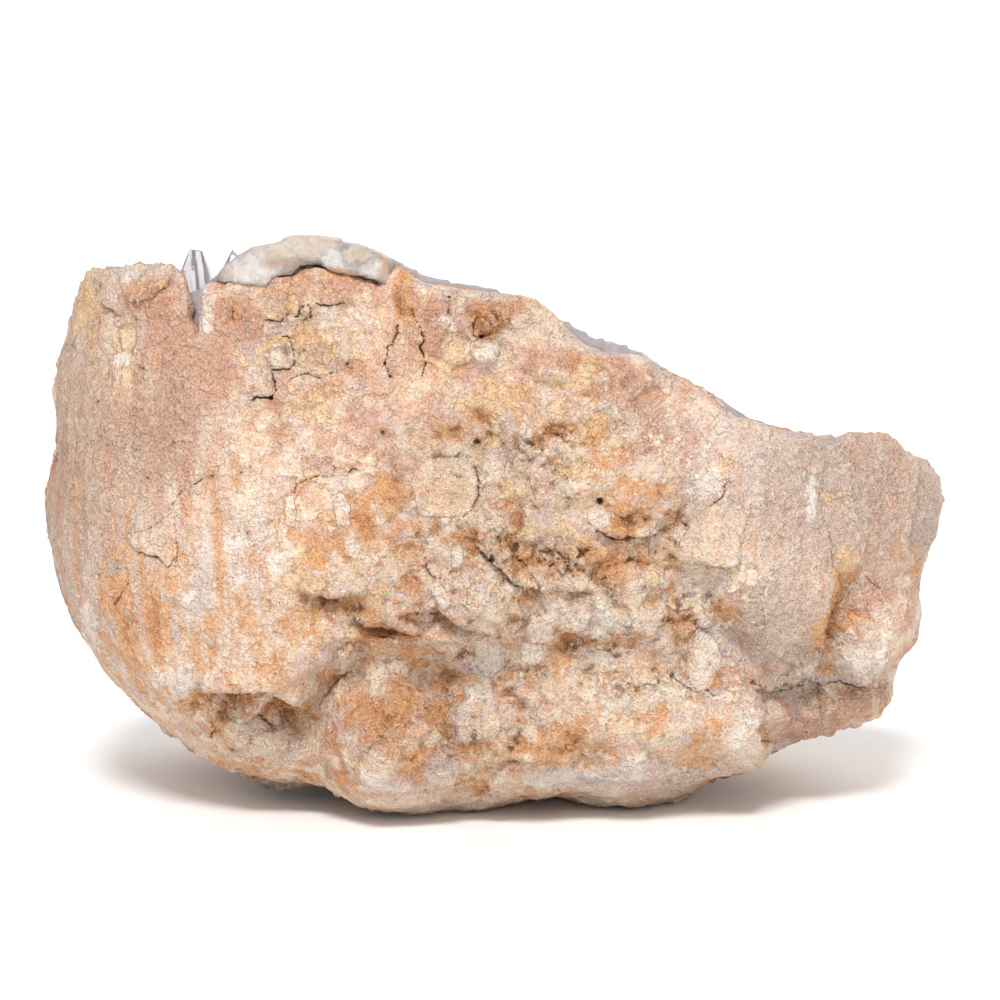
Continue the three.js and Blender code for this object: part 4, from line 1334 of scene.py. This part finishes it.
def hollowPlaces():
    # seeds on the inside of the band, spaced out, with the way each crystal grows
    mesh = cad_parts["quartz_lining"].data
    mesh.calc_loop_triangles()
    corners = meshArray(mesh.vertices, "co")
    triangles = np.array([t.vertices[:] for t in mesh.loop_triangles])
    a, b, c = corners[triangles[:, 0]], corners[triangles[:, 1]], corners[triangles[:, 2]]
    cross = np.cross(b - a, c - a)
    area = np.linalg.norm(cross, axis=1) / 2
    facing = cross / (2 * area[:, None] + 1e-12)
    rindSurface = surfaceOf("rind")
    centre = (a + b + c) / 3
    inner = distanceTo(rindSurface, centre, 0.03) > druseShape["wall"] * millimetre
    rimHeight = np.interp(centre[:, 0], *np.array(druseShape["rimLine"]).T)
    lipHeight = np.interp(centre[:, 0], *np.array(druseShape["lipLine"]).T)
    front, back = druseShape["frontAndBack"]
    towardsLip = np.clip((centre[:, 1] - front) / (back - front), 0, 1)
    breakHeight = rimHeight * (1 - towardsLip) + lipHeight * towardsLip
    chance = area * inner * (centre[:, 2] < breakHeight - druseShape["belowBreak"])
    generator = np.random.default_rng(11)
    picks = generator.choice(len(area), druseShape["tries"], p=chance / chance.sum())
    u, v = generator.random((2, len(picks)))
    flip = u + v > 1
    u[flip], v[flip] = 1 - u[flip], 1 - v[flip]
    places = a[picks] + u[:, None] * (b - a)[picks] + v[:, None] * (c - a)[picks]
    # the large crystals find their places first, the small ones fill what is left
    sizes = druseShape["small"] * (0.6 + 0.8 * generator.random(len(picks)) ** 2)
    count = int(len(picks) * druseShape["largeShare"])
    sizes[:count] = druseShape["large"] * (0.55 + 0.45 * generator.random(count))
    sizes *= millimetre / 1.6
    kept, cells, cell = [], {}, 6 * millimetre
    for p, way, radius in zip(places, facing[picks], sizes):
        key = tuple((p // cell).astype(int))
        near = [other for i in (-1, 0, 1) for j in (-1, 0, 1) for k in (-1, 0, 1)
                for other in cells.get((key[0] + i, key[1] + j, key[2] + k), [])]
        if all(((p - q) ** 2).sum() > (druseShape["spread"] * (radius + r)) ** 2 for q, r in near):
            cells.setdefault(key, []).append((p, radius))
            kept.append((p, way, radius))
    return kept


print("growing the druse")
random.seed(7)
shapes = crystalShapes()
allCorners, allFaces, start = [], [], 0
for spot, way, radius in hollowPlaces():
    corners, faces = shapes[random.randrange(len(shapes))]
    direction = Vector(way)
    side = direction.orthogonal().normalized()
    side.rotate(Quaternion(direction, random.uniform(0, 6.28)))
    direction.rotate(Quaternion(side, math.radians(random.gauss(0, druseShape["tilt"] / 2))))
    turn = direction.to_track_quat("Z", "Y") @ Quaternion((0, 0, 1), random.uniform(0, 6.28))
    grown = corners * radius * np.array((1, 1, random.uniform(0.85, 1.3)))
    turned = grown @ np.array(turn.to_matrix()).T + np.array(spot)
    allCorners.append(turned)
    allFaces.append(faces + start)
    start += len(corners)
druseMesh = bpy.data.meshes.new("quartz_druse")
druseMesh.from_pydata(np.vstack(allCorners).tolist(), [], np.vstack(allFaces).tolist())
druse = bpy.data.objects.new("quartz_druse", druseMesh)
bpy.context.collection.objects.link(druse)
druse.data.materials.append(sugaryMaterial)
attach(druse, "root")
print("druse crystals", len(allCorners))

# the blunt crystal standing on the rim beside the notch, in metres
tallCrystal = {
    "x": -0.0856,
    "y": -0.0462,
    "shoulder": 0.1675,
    "top": 0.1735,
    "width": 0.0050,
    "topWidth": 0.0022,
    "root": 0.022,
    "lean": (0.001, 0.002),
    "rootSpread": (1.7, 1.4),
    "topSlant": 0.14,
}
bpy.ops.object.select_all(action="DESELECT")
bpy.ops.mesh.primitive_cone_add(
    vertices=6, radius1=tallCrystal["width"], radius2=tallCrystal["topWidth"],
    depth=tallCrystal["top"] - tallCrystal["shoulder"],
    location=(tallCrystal["x"], tallCrystal["y"], (tallCrystal["top"] + tallCrystal["shoulder"]) / 2),
)
tall = bpy.context.object
tall.name = "rim_crystal"
for face in tall.data.polygons:
    face.select = face.normal.z < -0.9
bpy.ops.object.mode_set(mode="EDIT")
bpy.context.tool_settings.mesh_select_mode = (False, False, True)
bpy.ops.mesh.extrude_region_move(TRANSFORM_OT_translate={"value": (*tallCrystal["lean"], -tallCrystal["root"])})
bpy.ops.object.mode_set(mode="OBJECT")
for vertex in tall.data.vertices:
    if vertex.co.z < -0.006:
        vertex.co.x *= tallCrystal["rootSpread"][0]
        vertex.co.y *= tallCrystal["rootSpread"][1]
    if vertex.co.z > 0:
        vertex.co.z -= tallCrystal["topSlant"] * (vertex.co.x + 0.001)
bpy.ops.object.transform_apply(location=True, rotation=True, scale=True)
tall.data.materials.append(smokyMaterial)
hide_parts("crystal_rim_tall")
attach(tall, "root")

for name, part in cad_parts.items():
    if name.startswith("crystal"):
        part.data.materials.clear()
        part.data.materials.append(smokyMaterial if "rim" in name else pointMaterial)


# floor, light and camera

stageValues = {
    "floorSize": 80,
    "floorColour": (0.96, 0.96, 0.96, 1),
    "worldLight": 0.58,
    "lampDistance": 1.5,
}
lightValues = {
    "key": {"from": (-0.05, -0.62, 0.78), "angle": 16, "power": 2.4},
    "fill": {"from": (0.3, -0.95, 0.1), "angle": 60, "power": 0.42},
    "back": {"from": (0.25, 0.8, 0.6), "angle": 60, "power": 1.2},
}

print("setting the stage")
bpy.ops.object.select_all(action="DESELECT")
bpy.ops.mesh.primitive_plane_add(size=stageValues["floorSize"], location=(0, 0, 0))
floor = bpy.context.object
floor.name = "floor"
floorMaterial = bpy.data.materials.new("pale_floor")
floorMaterial.use_nodes = True
floorShader = floorMaterial.node_tree.nodes["Principled BSDF"]
feed(floorMaterial.node_tree, floorShader, {"Base Color": stageValues["floorColour"], "Roughness": 0.9})
floor.data.materials.append(floorMaterial)

world = bpy.data.worlds.new("studio")
bpy.context.scene.world = world
world.use_nodes = True
background = world.node_tree.nodes["Background"]
feed(world.node_tree, background, {"Color": (1, 1, 1, 1), "Strength": stageValues["worldLight"]})

for name, values in lightValues.items():
    lamp = bpy.data.lights.new(name, "SUN")
    lamp.angle = math.radians(values["angle"])
    lamp.energy = values["power"]
    holder = bpy.data.objects.new(name, lamp)
    holder.location = Vector(values["from"]) * stageValues["lampDistance"]
    holder.rotation_euler = (-Vector(values["from"])).to_track_quat("-Z", "Y").to_euler()
    bpy.context.collection.objects.link(holder)

lens = bpy.data.cameras.new("camera")
lens.lens = cameraValues["lens"]
lens.sensor_width = cameraValues["sensor"]
camera = bpy.data.objects.new("camera", lens)
camera.location = Vector(cameraValues["target"]) + Vector(towardsCamera()) * cameraValues["distance"]
camera.rotation_euler = (math.pi / 2 - rise, 0, 0)
bpy.context.collection.objects.link(camera)
bpy.context.scene.camera = camera
bpy.context.scene.view_settings.view_transform = "Standard"

print("finished")
